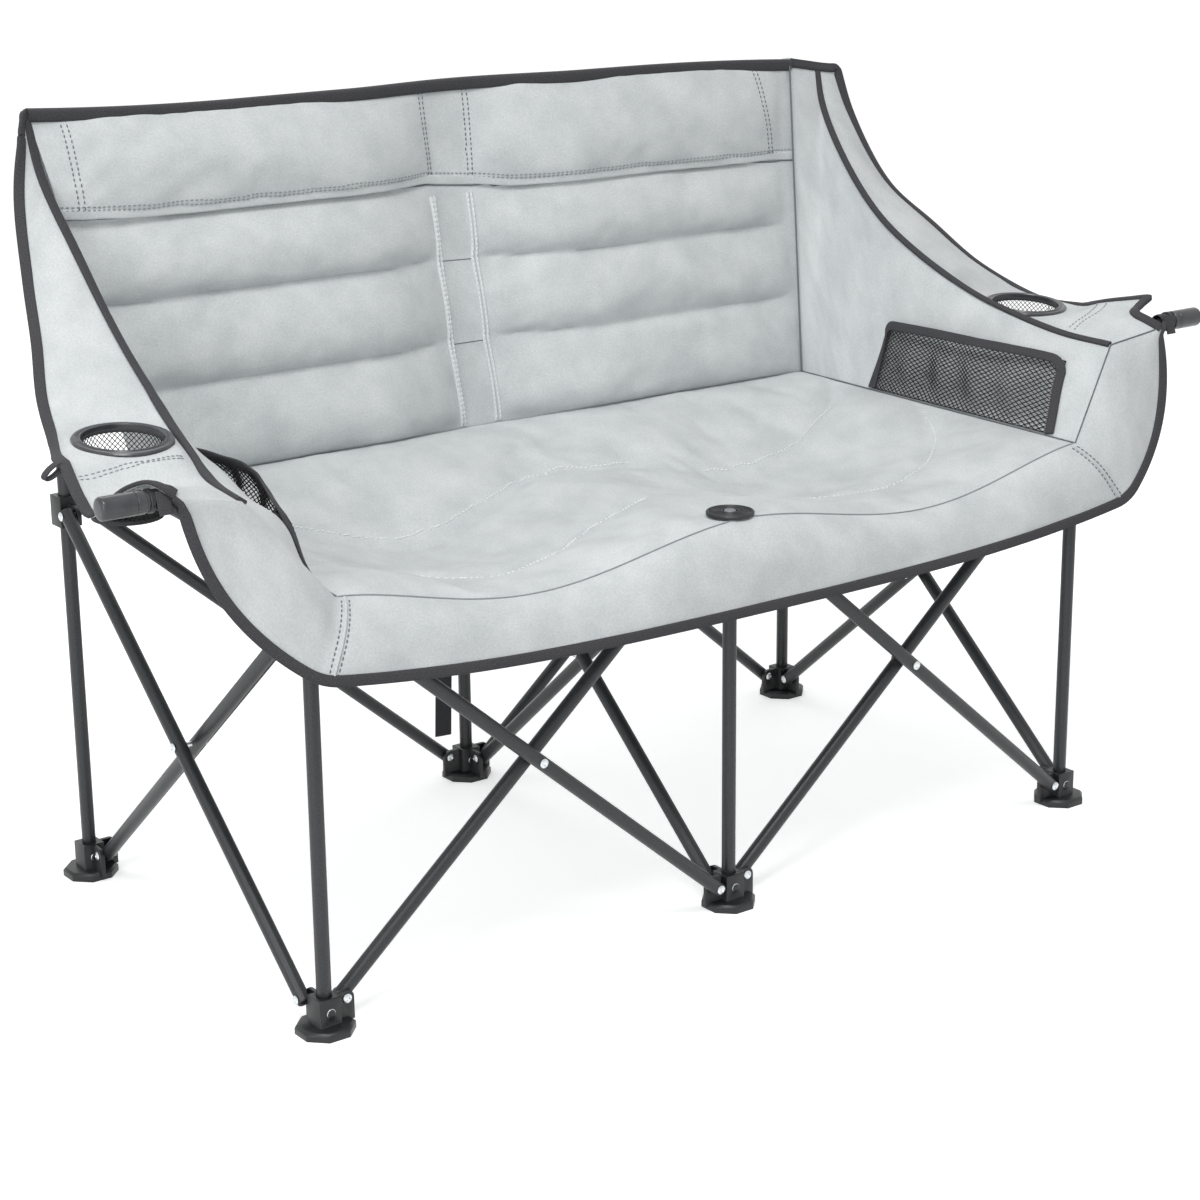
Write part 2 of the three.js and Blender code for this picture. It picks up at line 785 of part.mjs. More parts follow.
// A sleeve round the top of a rear post, with the web of cloth that joins it to the back
function postSleeve(x) {
  const top = rearPostTop - sleeveTopBelowPost;
  const outer = rod(socketBore + sleeveWall, top - sleeveLength, top, postSides, x, bay);
  const tuck = Math.abs(x) > 0 ? 0 : backTuckTop;
  const inset = Math.abs(x) > 0 ? backTopHalf - sleeveWebThickness : 0;
  const near = backTopLine + tuck + backEdgeThickness / 2;
  const far = bay - socketBore;
  const side = Math.sign(x);
  const web = new THREE.Shape();
  const start = new THREE.Vector2(side * inset, near);
  const finishPoint = new THREE.Vector2(x, far);
  const lean = finishPoint.clone().sub(start).normalize();
  const normal = new THREE.Vector2(-lean.y, lean.x).multiplyScalar(sleeveWebThickness / 2);
  const ends = [
    start.clone().add(normal), start.clone().sub(normal),
    finishPoint.clone().sub(normal), finishPoint.clone().add(normal),
  ];
  ends.forEach((point, index) => (index ? web.lineTo(point.x, point.y) : web.moveTo(point.x, point.y)));
  const plate = new THREE.ExtrudeGeometry(web, { depth: sleeveLength, bevelEnabled: false });
  return outer.add(solid(plate.translate(0, 0, top - sleeveLength)));
}

// Wings. A station runs from the back corner, 0, to the front, 1, and a height from the seat edge, 0,
// over the inner binding, 1, to the outer binding, 2.
function edgeCurve(rear, front, runShares, dropShares, flareShares) {
  const points = runShares.map((run, k) => new THREE.Vector3(
    lerp(rear.x, front.x, flareShares[k]),
    lerp(rear.y, front.y, run),
    lerp(rear.z, front.z, dropShares[k]),
  ));
  return new THREE.CatmullRomCurve3(points, false, 'centripetal');
}

const seatEdgeRear = new THREE.Vector3(seatRearHalf + seamGap / 2, seatRearLine, seatRearHeight);
const seatEdgeFront = new THREE.Vector3(seatFrontHalf + seamGap / 2, seatFrontLine, seatFrontHeight);
const seatEdgeShares = [seatEdgeRunShares, seatEdgeRunShares, seatEdgeRunShares];
const seatEdge = edgeCurve(seatEdgeRear, seatEdgeFront, ...seatEdgeShares);
const innerEdge = edgeCurve(innerEdgeRear, innerEdgeFront, innerRunShares, innerDropShares,
  innerFlareShares);
const outerEdge = edgeCurve(outerEdgeRear, outerEdgeFront, outerRunShares, outerDropShares,
  outerFlareShares);

// The padding under the inner binding rolls inwards towards the front, more on the left
function wallRoll(side, station, height) {
  const roll = side < 0 ? wallRollLeft : wallRollRight;
  const started = THREE.MathUtils.clamp((station - wallRollStartShare) / wallRollRiseShare, 0, 1);
  const left = THREE.MathUtils.clamp((1 - station) / wallRollEndShare, 0, 1);
  const peaked = height ** (Math.log(0.5) / Math.log(wallRollPeakShare));
  return roll * ease(started) * ease(left) * Math.sin(Math.PI * peaked);
}

function wingPoint(side, station, height) {
  const inner = innerEdge.getPoint(station);
  if (height > 1) return inner.lerp(outerEdge.getPoint(station), height - 1);
  const point = seatEdge.getPoint(station).lerp(inner, height);
  point.x += wingBulge * Math.sin(Math.PI * height) * Math.sin(Math.PI * station);
  point.x -= wallRoll(side, station, height);
  return point;
}

// The way in which the cloth of a wing is thick: outwards on the wall, down and back on the arm top
const wallThickness = new THREE.Vector3(1, 0, -0.35).normalize();
const footThickness = new THREE.Vector3(1, 0, 0);
const topThicknessRear = new THREE.Vector3(0.15, 0.95, -0.3).normalize();
const topThicknessFront = new THREE.Vector3(0.1, 0, -1).normalize();

function wingThickness(station, height) {
  const top = topThicknessRear.clone().lerp(topThicknessFront, ease(Math.min(1, 2 * station)));
  const wall = footThickness.clone().lerp(wallThickness, Math.min(1, 2 * height));
  const turn = ease(THREE.MathUtils.clamp(2 * height - wingTurnStartShare, 0, 1));
  return wall.lerp(top, turn).normalize().multiplyScalar(clothThickness);
}

function mirrored(side, point) {
  point.x *= side;
  return point;
}

const wingHeight = (share) => {
  const row = share * (wallRows + topRows);
  return row <= wallRows ? row / wallRows : 1 + (row - wallRows) / topRows;
};

function wing(side) {
  const face = (station, share) => mirrored(side, wingPoint(side, station, wingHeight(share)));
  const behind = (station, share) => {
    const height = wingHeight(share);
    return mirrored(side, wingPoint(side, station, height).add(wingThickness(station, height)));
  };
  const cloth = solid(shell(face, behind, wingColumns, wallRows + topRows));
  const hole = rod(cupRingOuter / 2 + seamGap, seatRearHeight, backTopHeight, cupSides,
    side * cupCentreReach, cupCentreDepth);
  return toGeometry(cloth.subtract(hole));
}

// A point on the flat facets of a wall, which are what a pocket is sewn to
function facetPoint(side, station, height) {
  const column = Math.min(Math.floor(station * wingColumns), wingColumns - 1);
  const row = Math.min(Math.floor(height * wallRows), wallRows - 1);
  const across = station * wingColumns - column;
  const up = height * wallRows - row;
  const knot = (k, m) => wingPoint(side, (column + k) / wingColumns, (row + m) / wallRows);
  const low = knot(0, 0).lerp(knot(1, 0), across);
  const high = knot(0, 1).lerp(knot(1, 1), across);
  return low.lerp(high, up);
}

// Side pocket: a bag of mesh sewn to the wall of the wing at its foot and ends, open at the top
function pocketPoint(side, share, rise01, lift) {
  const frontShare = lerp(pocketFrontShare, pocketFrontTopShare, rise01);
  const station = lerp(pocketRearShare, frontShare, share);
  const wallRise = innerEdge.getPoint(station).z - seatEdge.getPoint(station).z;
  const height = lerp(pocketFootRise, pocketTopRise, rise01) / wallRise;
  const swell = ease(rise01) * Math.sqrt(Math.sin(Math.PI * share));
  const inward = wallThickness.clone().negate();
  const gap = pocketFoot + (pocketMouth - pocketFoot) * swell;
  return facetPoint(side, station, height).addScaledVector(inward, gap + lift);
}

function pocket(side) {
  const outer = (share, up) => mirrored(side, pocketPoint(side, share, up, pocketThickness));
  const inner = (share, up) => mirrored(side, pocketPoint(side, share, up, 0));
  return shell(outer, inner, pocketColumns, pocketRows);
}

// Apron: from one arm tip down to the seat corner, along the front crease, and up to the other tip
function apronTop(share) {
  const side = share < 0.5 ? -1 : 1;
  const fromEnd = Math.min(share, 1 - share) / gussetShare;
  if (fromEnd >= 1) {
    const along = (share - gussetShare) / (1 - 2 * gussetShare);
    return frontCrease(THREE.MathUtils.clamp(along, 0, 1));
  }
  const corner = new THREE.Vector3(seatFrontHalf, seatFrontLine, seatFrontHeight);
  const stops = [outerEdgeFront, innerEdgeFront, corner];
  const leg = fromEnd * 2;
  const point = leg <= 1
    ? stops[0].clone().lerp(stops[1], leg)
    : stops[1].clone().lerp(stops[2], leg - 1);
  return mirrored(side, point);
}

function apronHem(share) {
  const side = share < 0.5 ? -1 : 1;
  const fromEnd = Math.min(share, 1 - share) / gussetShare;
  const corner = new THREE.Vector3(apronCornerHalf, apronHemLine, apronCornerHeight);
  if (fromEnd >= 1) {
    const away = Math.abs(2 * share - 1) / (1 - 2 * gussetShare);
    const height = lerp(apronHemHeight, apronCornerHeight, away ** 3);
    return new THREE.Vector3(side * away * apronCornerHalf, apronHemLine, height);
  }
  const tip = outerEdgeFront.clone();
  tip.z -= gussetTipDepth;
  const middle = new THREE.Vector3(gussetEdgeHalf, gussetEdgeLine, gussetEdgeHeight);
  const control = middle.multiplyScalar(2).addScaledVector(tip, -0.5).addScaledVector(corner, -0.5);
  const edge = new THREE.QuadraticBezierCurve3(tip, control, corner);
  return mirrored(side, edge.getPoint(fromEnd));
}

function apron() {
  const behind = (share, down) => {
    const point = apronTop(share).lerp(apronHem(share), down);
    point.y -= seamGap;
    return point;
  };
  const face = (share, down) => {
    const point = behind(share, down);
    point.y -= apronThickness;
    return point;
  };
  return shell(face, behind, apronColumns, apronRows);
}

// Cup holders, placed by their own axis
function cupRing() {
  const outer = cupRingOuter / 2;
  const inner = cupRingInner / 2;
  const low = cupTopHeight - cupRingHeight;
  return lathe([
    [inner, low],
    [outer - cupRingRound, low],
    [outer, low + cupRingRound],
    [outer, cupTopHeight - cupRingRound],
    [outer - cupRingRound, cupTopHeight],
    [inner, cupTopHeight],
    [inner, low],
  ], cupSides);
}

function cupNet() {
  const top = cupTopHeight - cupRingHeight - fitClearance;
  const mouth = cupRingInner / 2 + cupNetWall;
  const foot = cupNetBottomDiameter / 2;
  const low = top - cupNetDepth;
  return lathe([
    [0, low],
    [foot, low],
    [mouth, top],
    [mouth - cupNetWall, top],
    [foot - cupNetWall, low + cupNetWall],
    [0, low + cupNetWall],
  ], cupSides);
}

// Disc that pins the seat front to the middle hub
function seatDisc() {
  const under = seatCrestHeight + seamGap;
  const top = under + discThickness;
  const radius = discDiameter / 2;
  return lathe([
    [0, frontHubTop + fitClearance],
    [discStemDiameter / 2, frontHubTop + fitClearance],
    [discStemDiameter / 2, under],
    [radius, under],
    [radius, top - discRound],
    [radius - discRound, top],
    [0, top],
  ], cupSides);
}

// Webbing strap looped round the middle rear post, with its tail hanging between the bars
function strap() {
  const loop = solid(tubeGeometry(socketBore + strapThickness, socketBore, strapTop,
    strapTop + strapLoopHeight, postSides)).translate([0, bay, 0]);
  const near = -socketBore - strapThickness / 2;
  const shape = new THREE.Shape();
  shape.moveTo(near, strapTop + strapLoopHeight);
  shape.lineTo(near - strapWidth, strapTop);
  shape.lineTo(near - strapWidth - strapLean, strapBottom);
  shape.lineTo(near - strapLean, strapBottom);
  const tail = new THREE.ExtrudeGeometry(shape, { depth: strapThickness, bevelEnabled: false });
  tail.rotateX(Math.PI / 2).translate(0, bay + strapThickness / 2, 0);
  return toGeometry(loop.add(solid(tail)));
}

add('seat', seat(), greyCloth);
add('back_panel', backPanel(), greyCloth);
add('apron', apron(), greyCloth);
add('seat_disc', seatDisc(), blackPlastic);
add('rear_strap', strap(), webbing);

for (const [name, side] of [['left', -1], ['right', 1]]) {
  add(`wing_${name}`, wing(side), greyCloth);
  add(`side_pocket_${name}`, pocket(side), blackMesh);
  const cup = new THREE.Group();
  cup.position.set(side * cupCentreReach, cupCentreDepth, 0);
  model.add(cup);
  add(`cup_ring_${name}`, cupRing(), blackPlastic, cup);
  add(`cup_net_${name}`, cupNet(), blackMesh, cup);
}

// Centres the model over its own footprint
model.updateMatrixWorld(true);
const bounds = new THREE.Box3().setFromObject(model, true);
model.position.y = -(bounds.min.y + bounds.max.y) / 2;

export default model;
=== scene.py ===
# %% [markdown]
# A folding camping loveseat: six upright posts joined by seven bays of crossed tubes, and a padded
# cover sewn to hang on them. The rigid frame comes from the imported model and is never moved. What is
# added here is the look: smooth tubes, moulded feet and hubs, rivets, and every sewn part of the cover.

import json
import math

import bmesh
import bpy
from mathutils import Matrix, Vector, noise


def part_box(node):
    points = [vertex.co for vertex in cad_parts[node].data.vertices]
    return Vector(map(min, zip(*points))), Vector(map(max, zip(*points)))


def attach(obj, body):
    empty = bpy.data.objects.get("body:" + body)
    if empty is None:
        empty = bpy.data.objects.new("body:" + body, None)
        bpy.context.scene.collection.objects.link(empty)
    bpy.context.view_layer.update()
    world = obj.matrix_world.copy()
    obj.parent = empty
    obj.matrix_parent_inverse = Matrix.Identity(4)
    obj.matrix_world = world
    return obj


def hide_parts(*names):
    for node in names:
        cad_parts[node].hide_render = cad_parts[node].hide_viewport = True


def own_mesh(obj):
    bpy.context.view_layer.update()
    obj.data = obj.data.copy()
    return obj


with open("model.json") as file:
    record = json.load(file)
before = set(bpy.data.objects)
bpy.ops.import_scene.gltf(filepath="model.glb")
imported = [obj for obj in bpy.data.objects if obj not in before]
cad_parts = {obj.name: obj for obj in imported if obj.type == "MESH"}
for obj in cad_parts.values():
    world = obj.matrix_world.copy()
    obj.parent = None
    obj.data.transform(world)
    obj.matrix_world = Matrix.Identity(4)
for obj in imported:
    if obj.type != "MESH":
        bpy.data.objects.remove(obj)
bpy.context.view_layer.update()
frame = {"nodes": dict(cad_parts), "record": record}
MM = 0.001

# %% [markdown]
# The rows and columns of posts are read from the frame, so the pieces made here stand where the
# posts stand. Everything else is measured from the front row of posts, as on a maker's drawing.

# %% Places read from the frame


def middle_of(node):
    low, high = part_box(node)
    return (low + high) / 2


front_row = middle_of("front_post_middle").y
rear_row = middle_of("rear_post_middle").y
left_column = middle_of("front_post_left").x
right_column = middle_of("front_post_right").x

# %% [markdown]
# Small helpers keep the cells short. An operator acts on all that is selected, so each piece is
# selected alone before anything is done to it. A finished piece has its place in its mesh.

# %% Helpers for pieces


def select_only(*pieces):
    bpy.ops.object.select_all(action="DESELECT")
    for piece in pieces:
        piece.select_set(True)
    bpy.context.view_layer.objects.active = pieces[0]


def apply_modifier(piece, kind, **settings):
    modifier = piece.modifiers.new(kind.lower(), kind)
    for name, value in settings.items():
        setattr(modifier, name, value)
    select_only(piece)
    bpy.ops.object.modifier_apply(modifier=modifier.name)


def settle(piece, name):
    """Names the piece and puts its place into its mesh."""
    piece.name = name
    piece.data.name = name
    select_only(piece)
    bpy.ops.object.transform_apply(location=True, rotation=True, scale=True)
    return piece


def smooth(piece, angle=35):
    select_only(piece)
    bpy.ops.object.shade_smooth_by_angle(angle=math.radians(angle))


def joined(pieces, name):
    select_only(*pieces)
    if len(pieces) > 1:
        bpy.ops.object.join()
    return settle(bpy.context.view_layer.objects.active, name)


def dress(piece, material, body, replaced=()):
    piece.data.materials.clear()
    piece.data.materials.append(material)
    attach(piece, body)
    if replaced:
        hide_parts(*replaced)
    return piece


# %% [markdown]
# Materials are built from nodes. One function turns an sRGB hex value into the linear colour that
# Blender works in, and one function adds a node with its settings and links.

# %% Helpers for materials


def linear(code):
    """The linear colour of a hex value, by the curve of the sRGB standard."""
    channels = [int(code[i:i + 2], 16) / 255 for i in (1, 3, 5)]
    curve = [c / 12.92 if c <= 0.04045 else ((c + 0.055) / 1.055) ** 2.4 for c in channels]
    return (*curve, 1.0)


def add_node(tree, kind, inputs=None, **settings):
    node = tree.nodes.new(kind)
    for name, value in settings.items():
        setattr(node, name, value)
    for name, value in (inputs or {}).items():
        if isinstance(value, bpy.types.NodeSocket):
            tree.links.new(value, node.inputs[name])
        else:
            node.inputs[name].default_value = value
    return node


def new_material(name):
    material = bpy.data.materials.new(name)
    material.use_nodes = True
    tree = material.node_tree
    shader = tree.nodes["Principled BSDF"]
    print("material", name)
    return material, tree, shader


def two_tone(tree, pattern, dark, light, low=0.35, high=0.65):
    """A pattern between two colours, as an output socket."""
    ramp = add_node(tree, "ShaderNodeValToRGB", {"Fac": pattern})
    ramp.color_ramp.elements[0].position = low
    ramp.color_ramp.elements[0].color = linear(dark)
    ramp.color_ramp.elements[1].position = high
    ramp.color_ramp.elements[1].color = linear(light)
    return ramp.outputs["Color"]


def bumped(tree, shader, height, depth, strength=1.0):
    bump = add_node(tree, "ShaderNodeBump", {
        "Height": height, "Distance": depth, "Strength": strength})
    tree.links.new(bump.outputs["Normal"], shader.inputs["Normal"])


# A wave texture runs through one band in this many of its own units
WAVE_TURN = 2 * math.pi / 20

# %% [markdown]
# Powder-coated steel tube. Powder is sprayed on dry and baked, which leaves a tough film with a
# fine orange peel: soft highlights that break up along the tube. The film is a plastic, so it isn't
# metallic.

# %% Powder-coated steel
PEEL_GRAIN = 0.9 * MM
PEEL_DEPTH = 0.05 * MM


def powder_coated_steel():
    material, tree, shader = new_material("powder_coated_steel")
    place = add_node(tree, "ShaderNodeTexCoord")
    peel = add_node(tree, "ShaderNodeTexNoise", {
        "Vector": place.outputs["Object"], "Scale": 1 / PEEL_GRAIN, "Detail": 3.0})
    colour = two_tone(tree, peel.outputs["Fac"], "#1c1d1f", "#333538")
    tree.links.new(colour, shader.inputs["Base Color"])
    rough = add_node(tree, "ShaderNodeMapRange", {
        "Value": peel.outputs["Fac"], "To Min": 0.28, "To Max": 0.5})
    tree.links.new(rough.outputs["Result"], shader.inputs["Roughness"])
    bumped(tree, shader, peel.outputs["Fac"], PEEL_DEPTH)
    return material


steel = powder_coated_steel()

# %% [markdown]
# Moulded nylon for feet, hubs and caps. The mould's surface was spark-eroded, so the plastic has an
# even, very fine texture and a satin look, a little greyer where it is worn. The arm caps and the cup
# rings come from a polished mould, so they are glossier, and the button of the disc is a pale grey.

# %% Moulded nylon
SPARK_GRAIN = 0.7 * MM
SPARK_DEPTH = 0.04 * MM
WEAR_PATCH = 18 * MM


def moulded_nylon(name, dark, light, roughness):
    material, tree, shader = new_material(name)
    place = add_node(tree, "ShaderNodeTexCoord")
    grain = add_node(tree, "ShaderNodeTexNoise", {
        "Vector": place.outputs["Object"], "Scale": 1 / SPARK_GRAIN, "Detail": 2.0})
    wear = add_node(tree, "ShaderNodeTexNoise", {
        "Vector": place.outputs["Object"], "Scale": 1 / WEAR_PATCH, "Detail": 4.0})
    colour = two_tone(tree, wear.outputs["Fac"], dark, light, 0.3, 0.75)
    tree.links.new(colour, shader.inputs["Base Color"])
    shader.inputs["Roughness"].default_value = roughness
    bumped(tree, shader, grain.outputs["Fac"], SPARK_DEPTH)
    return material


nylon = moulded_nylon("moulded_nylon", "#141517", "#202224", 0.42)
gloss_nylon = moulded_nylon("gloss_nylon", "#333437", "#46484b", 0.26)
button_nylon = moulded_nylon("button_nylon", "#6d7174", "#83878a", 0.35)

# %% [markdown]
# Bright zinc plate on the rivets. The plating is thin and slightly cloudy, so its roughness varies
# over a few millimetres.

# %% Zinc-plated steel
CLOUD_OF_ZINC = 3 * MM


def zinc_plate():
    material, tree, shader = new_material("zinc_plated_steel")
    place = add_node(tree, "ShaderNodeTexCoord")
    cloud = add_node(tree, "ShaderNodeTexNoise", {
        "Vector": place.outputs["Object"], "Scale": 1 / CLOUD_OF_ZINC, "Detail": 3.0})
    colour = two_tone(tree, cloud.outputs["Fac"], "#c4c8cb", "#e4e7e9")
    tree.links.new(colour, shader.inputs["Base Color"])
    shader.inputs["Metallic"].default_value = 1.0
    rough = add_node(tree, "ShaderNodeMapRange", {
        "Value": cloud.outputs["Fac"], "To Min": 0.22, "To Max": 0.4})
    tree.links.new(rough.outputs["Result"], shader.inputs["Roughness"])
    return material


zinc = zinc_plate()

# %% [markdown]
# The cover is polyester with a brushed face. A plain weave of threads about half a millimetre apart
# lies under a short nap, and the nap is stroked both ways, which clouds the grey over a hand's
# width.
# The weave is drawn at 1.6 mm, because half a millimetre is too fine to show. The patterns read the
# pieces' own UV maps, which are in metres along the cloth, so they stay on it when it is folded.

# %% Brushed polyester
THREAD_PITCH = 1.6 * MM
WEAVE_DEPTH = 0.12 * MM
NAP_GRAIN = 2.5 * MM
NAP_CLOUD = 70 * MM


def threads(tree, cloth, pitch, direction, sway):
    """Parallel threads at a pitch in the cloth's own plane, as an output socket."""
    wave = add_node(tree, "ShaderNodeTexWave", {
        "Vector": cloth.outputs["UV"], "Scale": WAVE_TURN / pitch, "Distortion": sway},
        wave_type="BANDS", bands_direction=direction)
    return wave.outputs["Fac"]


def woven(tree, cloth, pitch):
    """The height of a plain weave, as an output socket."""
    across, along = (threads(tree, cloth, pitch, direction, 0.4) for direction in "XY")
    weave = add_node(tree, "ShaderNodeMath", {0: across, 1: along}, operation="MAXIMUM")
    return weave.outputs["Value"]


def brushed_polyester():
    material, tree, shader = new_material("brushed_polyester")
    cloth = add_node(tree, "ShaderNodeTexCoord")
    cloud = add_node(tree, "ShaderNodeTexNoise", {
        "Vector": cloth.outputs["UV"], "Scale": 1 / NAP_CLOUD, "Detail": 5.0, "Roughness": 0.62})
    nap = add_node(tree, "ShaderNodeTexNoise", {
        "Vector": cloth.outputs["UV"], "Scale": 1 / NAP_GRAIN, "Detail": 4.0, "Roughness": 0.7})
    clouds = two_tone(tree, cloud.outputs["Fac"], "#c5c9ca", "#dcdfdf", 0.3, 0.7)
    grains = two_tone(tree, nap.outputs["Fac"], "#e4e6e7", "#ffffff", 0.3, 0.7)
    colour = add_node(tree, "ShaderNodeMix", {"Factor": 1.0, 6: clouds, 7: grains},
                      data_type="RGBA", blend_type="MULTIPLY")
    tree.links.new(colour.outputs[2], shader.inputs["Base Color"])
    shader.inputs["Roughness"].default_value = 0.88
    shader.inputs["Sheen Weight"].default_value = 0.12
    shader.inputs["Sheen Roughness"].default_value = 0.5
    weave = woven(tree, cloth, THREAD_PITCH)
    height = add_node(tree, "ShaderNodeMath", {0: weave, 1: nap.outputs["Fac"]}, operation="ADD")
    bumped(tree, shader, height.outputs["Value"], WEAVE_DEPTH, 0.6)
    return material


polyester = brushed_polyester()

# %% [markdown]
# Woven edge binding and webbing. Ribs of heavy dark-grey yarn run across the tape, 1.8 mm apart,
# and the yarn is flecked. Each tape's UV map runs round it in one direction and along it in the
# other.

# %% Ribbed webbing
RIB_PITCH = 1.8 * MM
RIB_DEPTH = 0.2 * MM
YARN_FLECK = 1.3 * MM


def ribbed_webbing(name, dark, light):
    material, tree, shader = new_material(name)
    tape = add_node(tree, "ShaderNodeTexCoord")
    ribs = threads(tree, tape, RIB_PITCH, "Y", 0.8)
    fleck = add_node(tree, "ShaderNodeTexNoise", {
        "Vector": tape.outputs["UV"], "Scale": 1 / YARN_FLECK, "Detail": 3.0})
    colour = two_tone(tree, fleck.outputs["Fac"], dark, light)
    tree.links.new(colour, shader.inputs["Base Color"])
    shader.inputs["Roughness"].default_value = 0.85
    height = add_node(tree, "ShaderNodeMath", {0: ribs, 1: fleck.outputs["Fac"]}, operation="ADD")
    bumped(tree, shader, height.outputs["Value"], RIB_DEPTH, 0.8)
    return material


webbing = ribbed_webbing("ribbed_webbing", "#2b2b2e", "#454548")

# %% [markdown]
# Net, sewing thread and piping. All of them are twisted polyester yarn: nearly black in the net, and
# from a dark grey to nearly white in the seams. The dark and the soft grey yarn are also drawn as plain
# cords along seams and creases, and there they are painted shade. The pale piping is lighter than the
# cloth partly as a painted highlight. The holes of the net are real gaps in its mesh, so this only
# colours the yarn.

# %% Net and sewing thread
TWIST_PITCH = 1.1 * MM


def twisted_yarn(name, dark, light, roughness):
    material, tree, shader = new_material(name)
    yarn = add_node(tree, "ShaderNodeTexCoord")
    twist = threads(tree, yarn, TWIST_PITCH, "DIAGONAL", 1.0)
    colour = two_tone(tree, twist, dark, light, 0.1, 0.9)
    tree.links.new(colour, shader.inputs["Base Color"])
    shader.inputs["Roughness"].default_value = roughness
    return material


net_yarn = twisted_yarn("net_yarn", "#0d0e0f", "#17181a", 0.7)
# dark_thread_and_seam_shade colours dark stitches, and also the painted shade in seams where it is
# drawn as a cord.
dark_thread_and_seam_shade = twisted_yarn("dark_thread_and_seam_shade", "#565c5f", "#72787b", 0.7)
pale_thread = twisted_yarn("pale_thread", "#dfe3e4", "#f2f4f4", 0.7)
# pale_piping_and_highlight is lighter than the cloth: partly the ribs' own pale tone and partly a
# painted highlight.
pale_piping_and_highlight = twisted_yarn("pale_piping_and_highlight", "#cfd3d4", "#dde0e1", 0.8)
# soft_thread_and_crease_shade colours soft grey stitches, and also the painted shadow drawn as cords
# along the seat's two creases.
soft_thread_and_crease_shade = twisted_yarn("soft_thread_and_crease_shade", "#83888a", "#989d9f", 0.8)

# %% [markdown]
# The frame's tubes. Each was cut from 16 mm steel tube and its cut ends were rounded. A cylinder is
# added along the line between two points, and a bevel rounds its ends.

# %% Tubes between two points
TUBE_DIAMETER = 16 * MM
TUBE_SIDES = 40
CUT_END_ROUND = 2.2 * MM
BAR_PAST_PIVOT = 6 * MM


def tube_between(name, start, end, diameter=TUBE_DIAMETER, rounding=CUT_END_ROUND):
    run = end - start
    turn = run.to_track_quat("Z", "Y").to_euler()
    bpy.ops.mesh.primitive_cylinder_add(vertices=TUBE_SIDES, radius=diameter / 2, depth=run.length,
                                        location=(start + end) / 2, rotation=turn)
    tube = settle(bpy.context.active_object, name)
    apply_modifier(tube, "BEVEL", width=rounding, segments=3, limit_method="ANGLE")
    smooth(tube)
    return tube


# %% Posts and the inner tubes of the front posts
INNER_TUBE_DIAMETER = 12.8 * MM
POST_END_ROUND = 0.5 * MM
body_of_node = {node: body for body, nodes in frame["record"]["behaviour"]["bodies"].items()
                for node in nodes}


def upright(node, body, diameter=TUBE_DIAMETER):
    low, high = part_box(node)
    x, y = (low.x + high.x) / 2, (low.y + high.y) / 2
    foot, top = Vector((x, y, low.z)), Vector((x, y, high.z))
    tube = tube_between(f"{node}_tube", foot, top, diameter, POST_END_ROUND)
    return dress(tube, steel, body, [node])


for node, body in body_of_node.items():
    if "_post_" in node and "cap" not in node:
        upright(node, body)
    if "slide_tube" in node:
        upright(node, body, INNER_TUBE_DIAMETER)
print("posts and inner tubes made")

# %% [markdown]
# The crossed bars. A bay runs from one post to the next. One bar climbs from the first foot to the
# second hub and the other from the second foot to the first hub, one on each side of the bay's
# plane, so that they pass each other at the rivet. Two of them are the arms and run on.

# %% Where the bays run
PIVOT_INSET = 26 * MM
FOOT_PIVOT_HEIGHT = 30 * MM
HUB_PIVOT_HEIGHT = 448 * MM
EAR_THICKNESS = 5 * MM
RUNNING_GAP = 0.3 * MM
bar_offset = EAR_THICKNESS / 2 + RUNNING_GAP + TUBE_DIAMETER / 2
UP = Vector((0, 0, 1))
column_places = {"left": left_column, "middle": 0.0, "right": right_column}
row_places = {"front": front_row, "rear": rear_row}
BAYS = [
    ("rear_left", ("rear", "middle"), ("rear", "left"), -1, "rear_left_bar"),
    ("rear_right", ("rear", "middle"), ("rear", "right"), -1, "rear_right_bar"),
    ("middle", ("rear", "middle"), ("front", "middle"), 1, "middle_bar"),
    ("front_left", ("front", "middle"), ("front", "left"), 1, "arm_bar_left"),
    ("front_right", ("front", "middle"), ("front", "right"), 1, "arm_bar_right"),
    ("left_side", ("rear", "left"), ("front", "left"), 1, "left_side_bar"),
    ("right_side", ("rear", "right"), ("front", "right"), -1, "right_side_bar"),
]


def post_foot(place):
    row, column = place
    return Vector((column_places[column], row_places[row], 0))


def bay_lines(first, second, side):
    """The two pivots of the rising and of the falling bar, and the bay's own directions."""
    start, end = post_foot(first), post_foot(second)
    along = (end - start).normalized()
    across = UP.cross(along) * side
    near = start + along * PIVOT_INSET
    far = end - along * PIVOT_INSET
    foot, hub = UP * FOOT_PIVOT_HEIGHT, UP * HUB_PIVOT_HEIGHT
    rising = (near + foot + across * bar_offset, far + hub + across * bar_offset)
    falling = (far + foot - across * bar_offset, near + hub - across * bar_offset)
    return rising, falling, along, across


# %% Straight bars
def straight_bar(node, low, high):
    past = (high - low).normalized() * BAR_PAST_PIVOT
    bar = tube_between(f"{node}_tube", low - past, high + past)
    return dress(bar, steel, body_of_node[node], [node])


for name, first, second, side, rising_node in BAYS:
    rising, falling, along, across = bay_lines(first, second, side)
    straight_bar(f"{name}_bar_falling", *falling)
    if not rising_node.startswith("arm"):
        straight_bar(f"{name}_bar_rising", *rising)

# %% [markdown]
# The two arm bars climb past their hubs and are bent level where the arms of the cover slip over
# them. A tube that bends is swept along a curve: the straight run, the bend, and the level end.

# %% Arm bars
ARM_TIP_REACH = 752 * MM
ARM_TIP_HEIGHT = 594 * MM
ARM_TIP_DEPTH = 5 * MM
ARM_BEND_REACH = 17 * MM
ARM_STRAIGHT_PAST_HUB = 20 * MM
ARM_SWAY_SHARE = 0.7
BEND_STEPS = 24


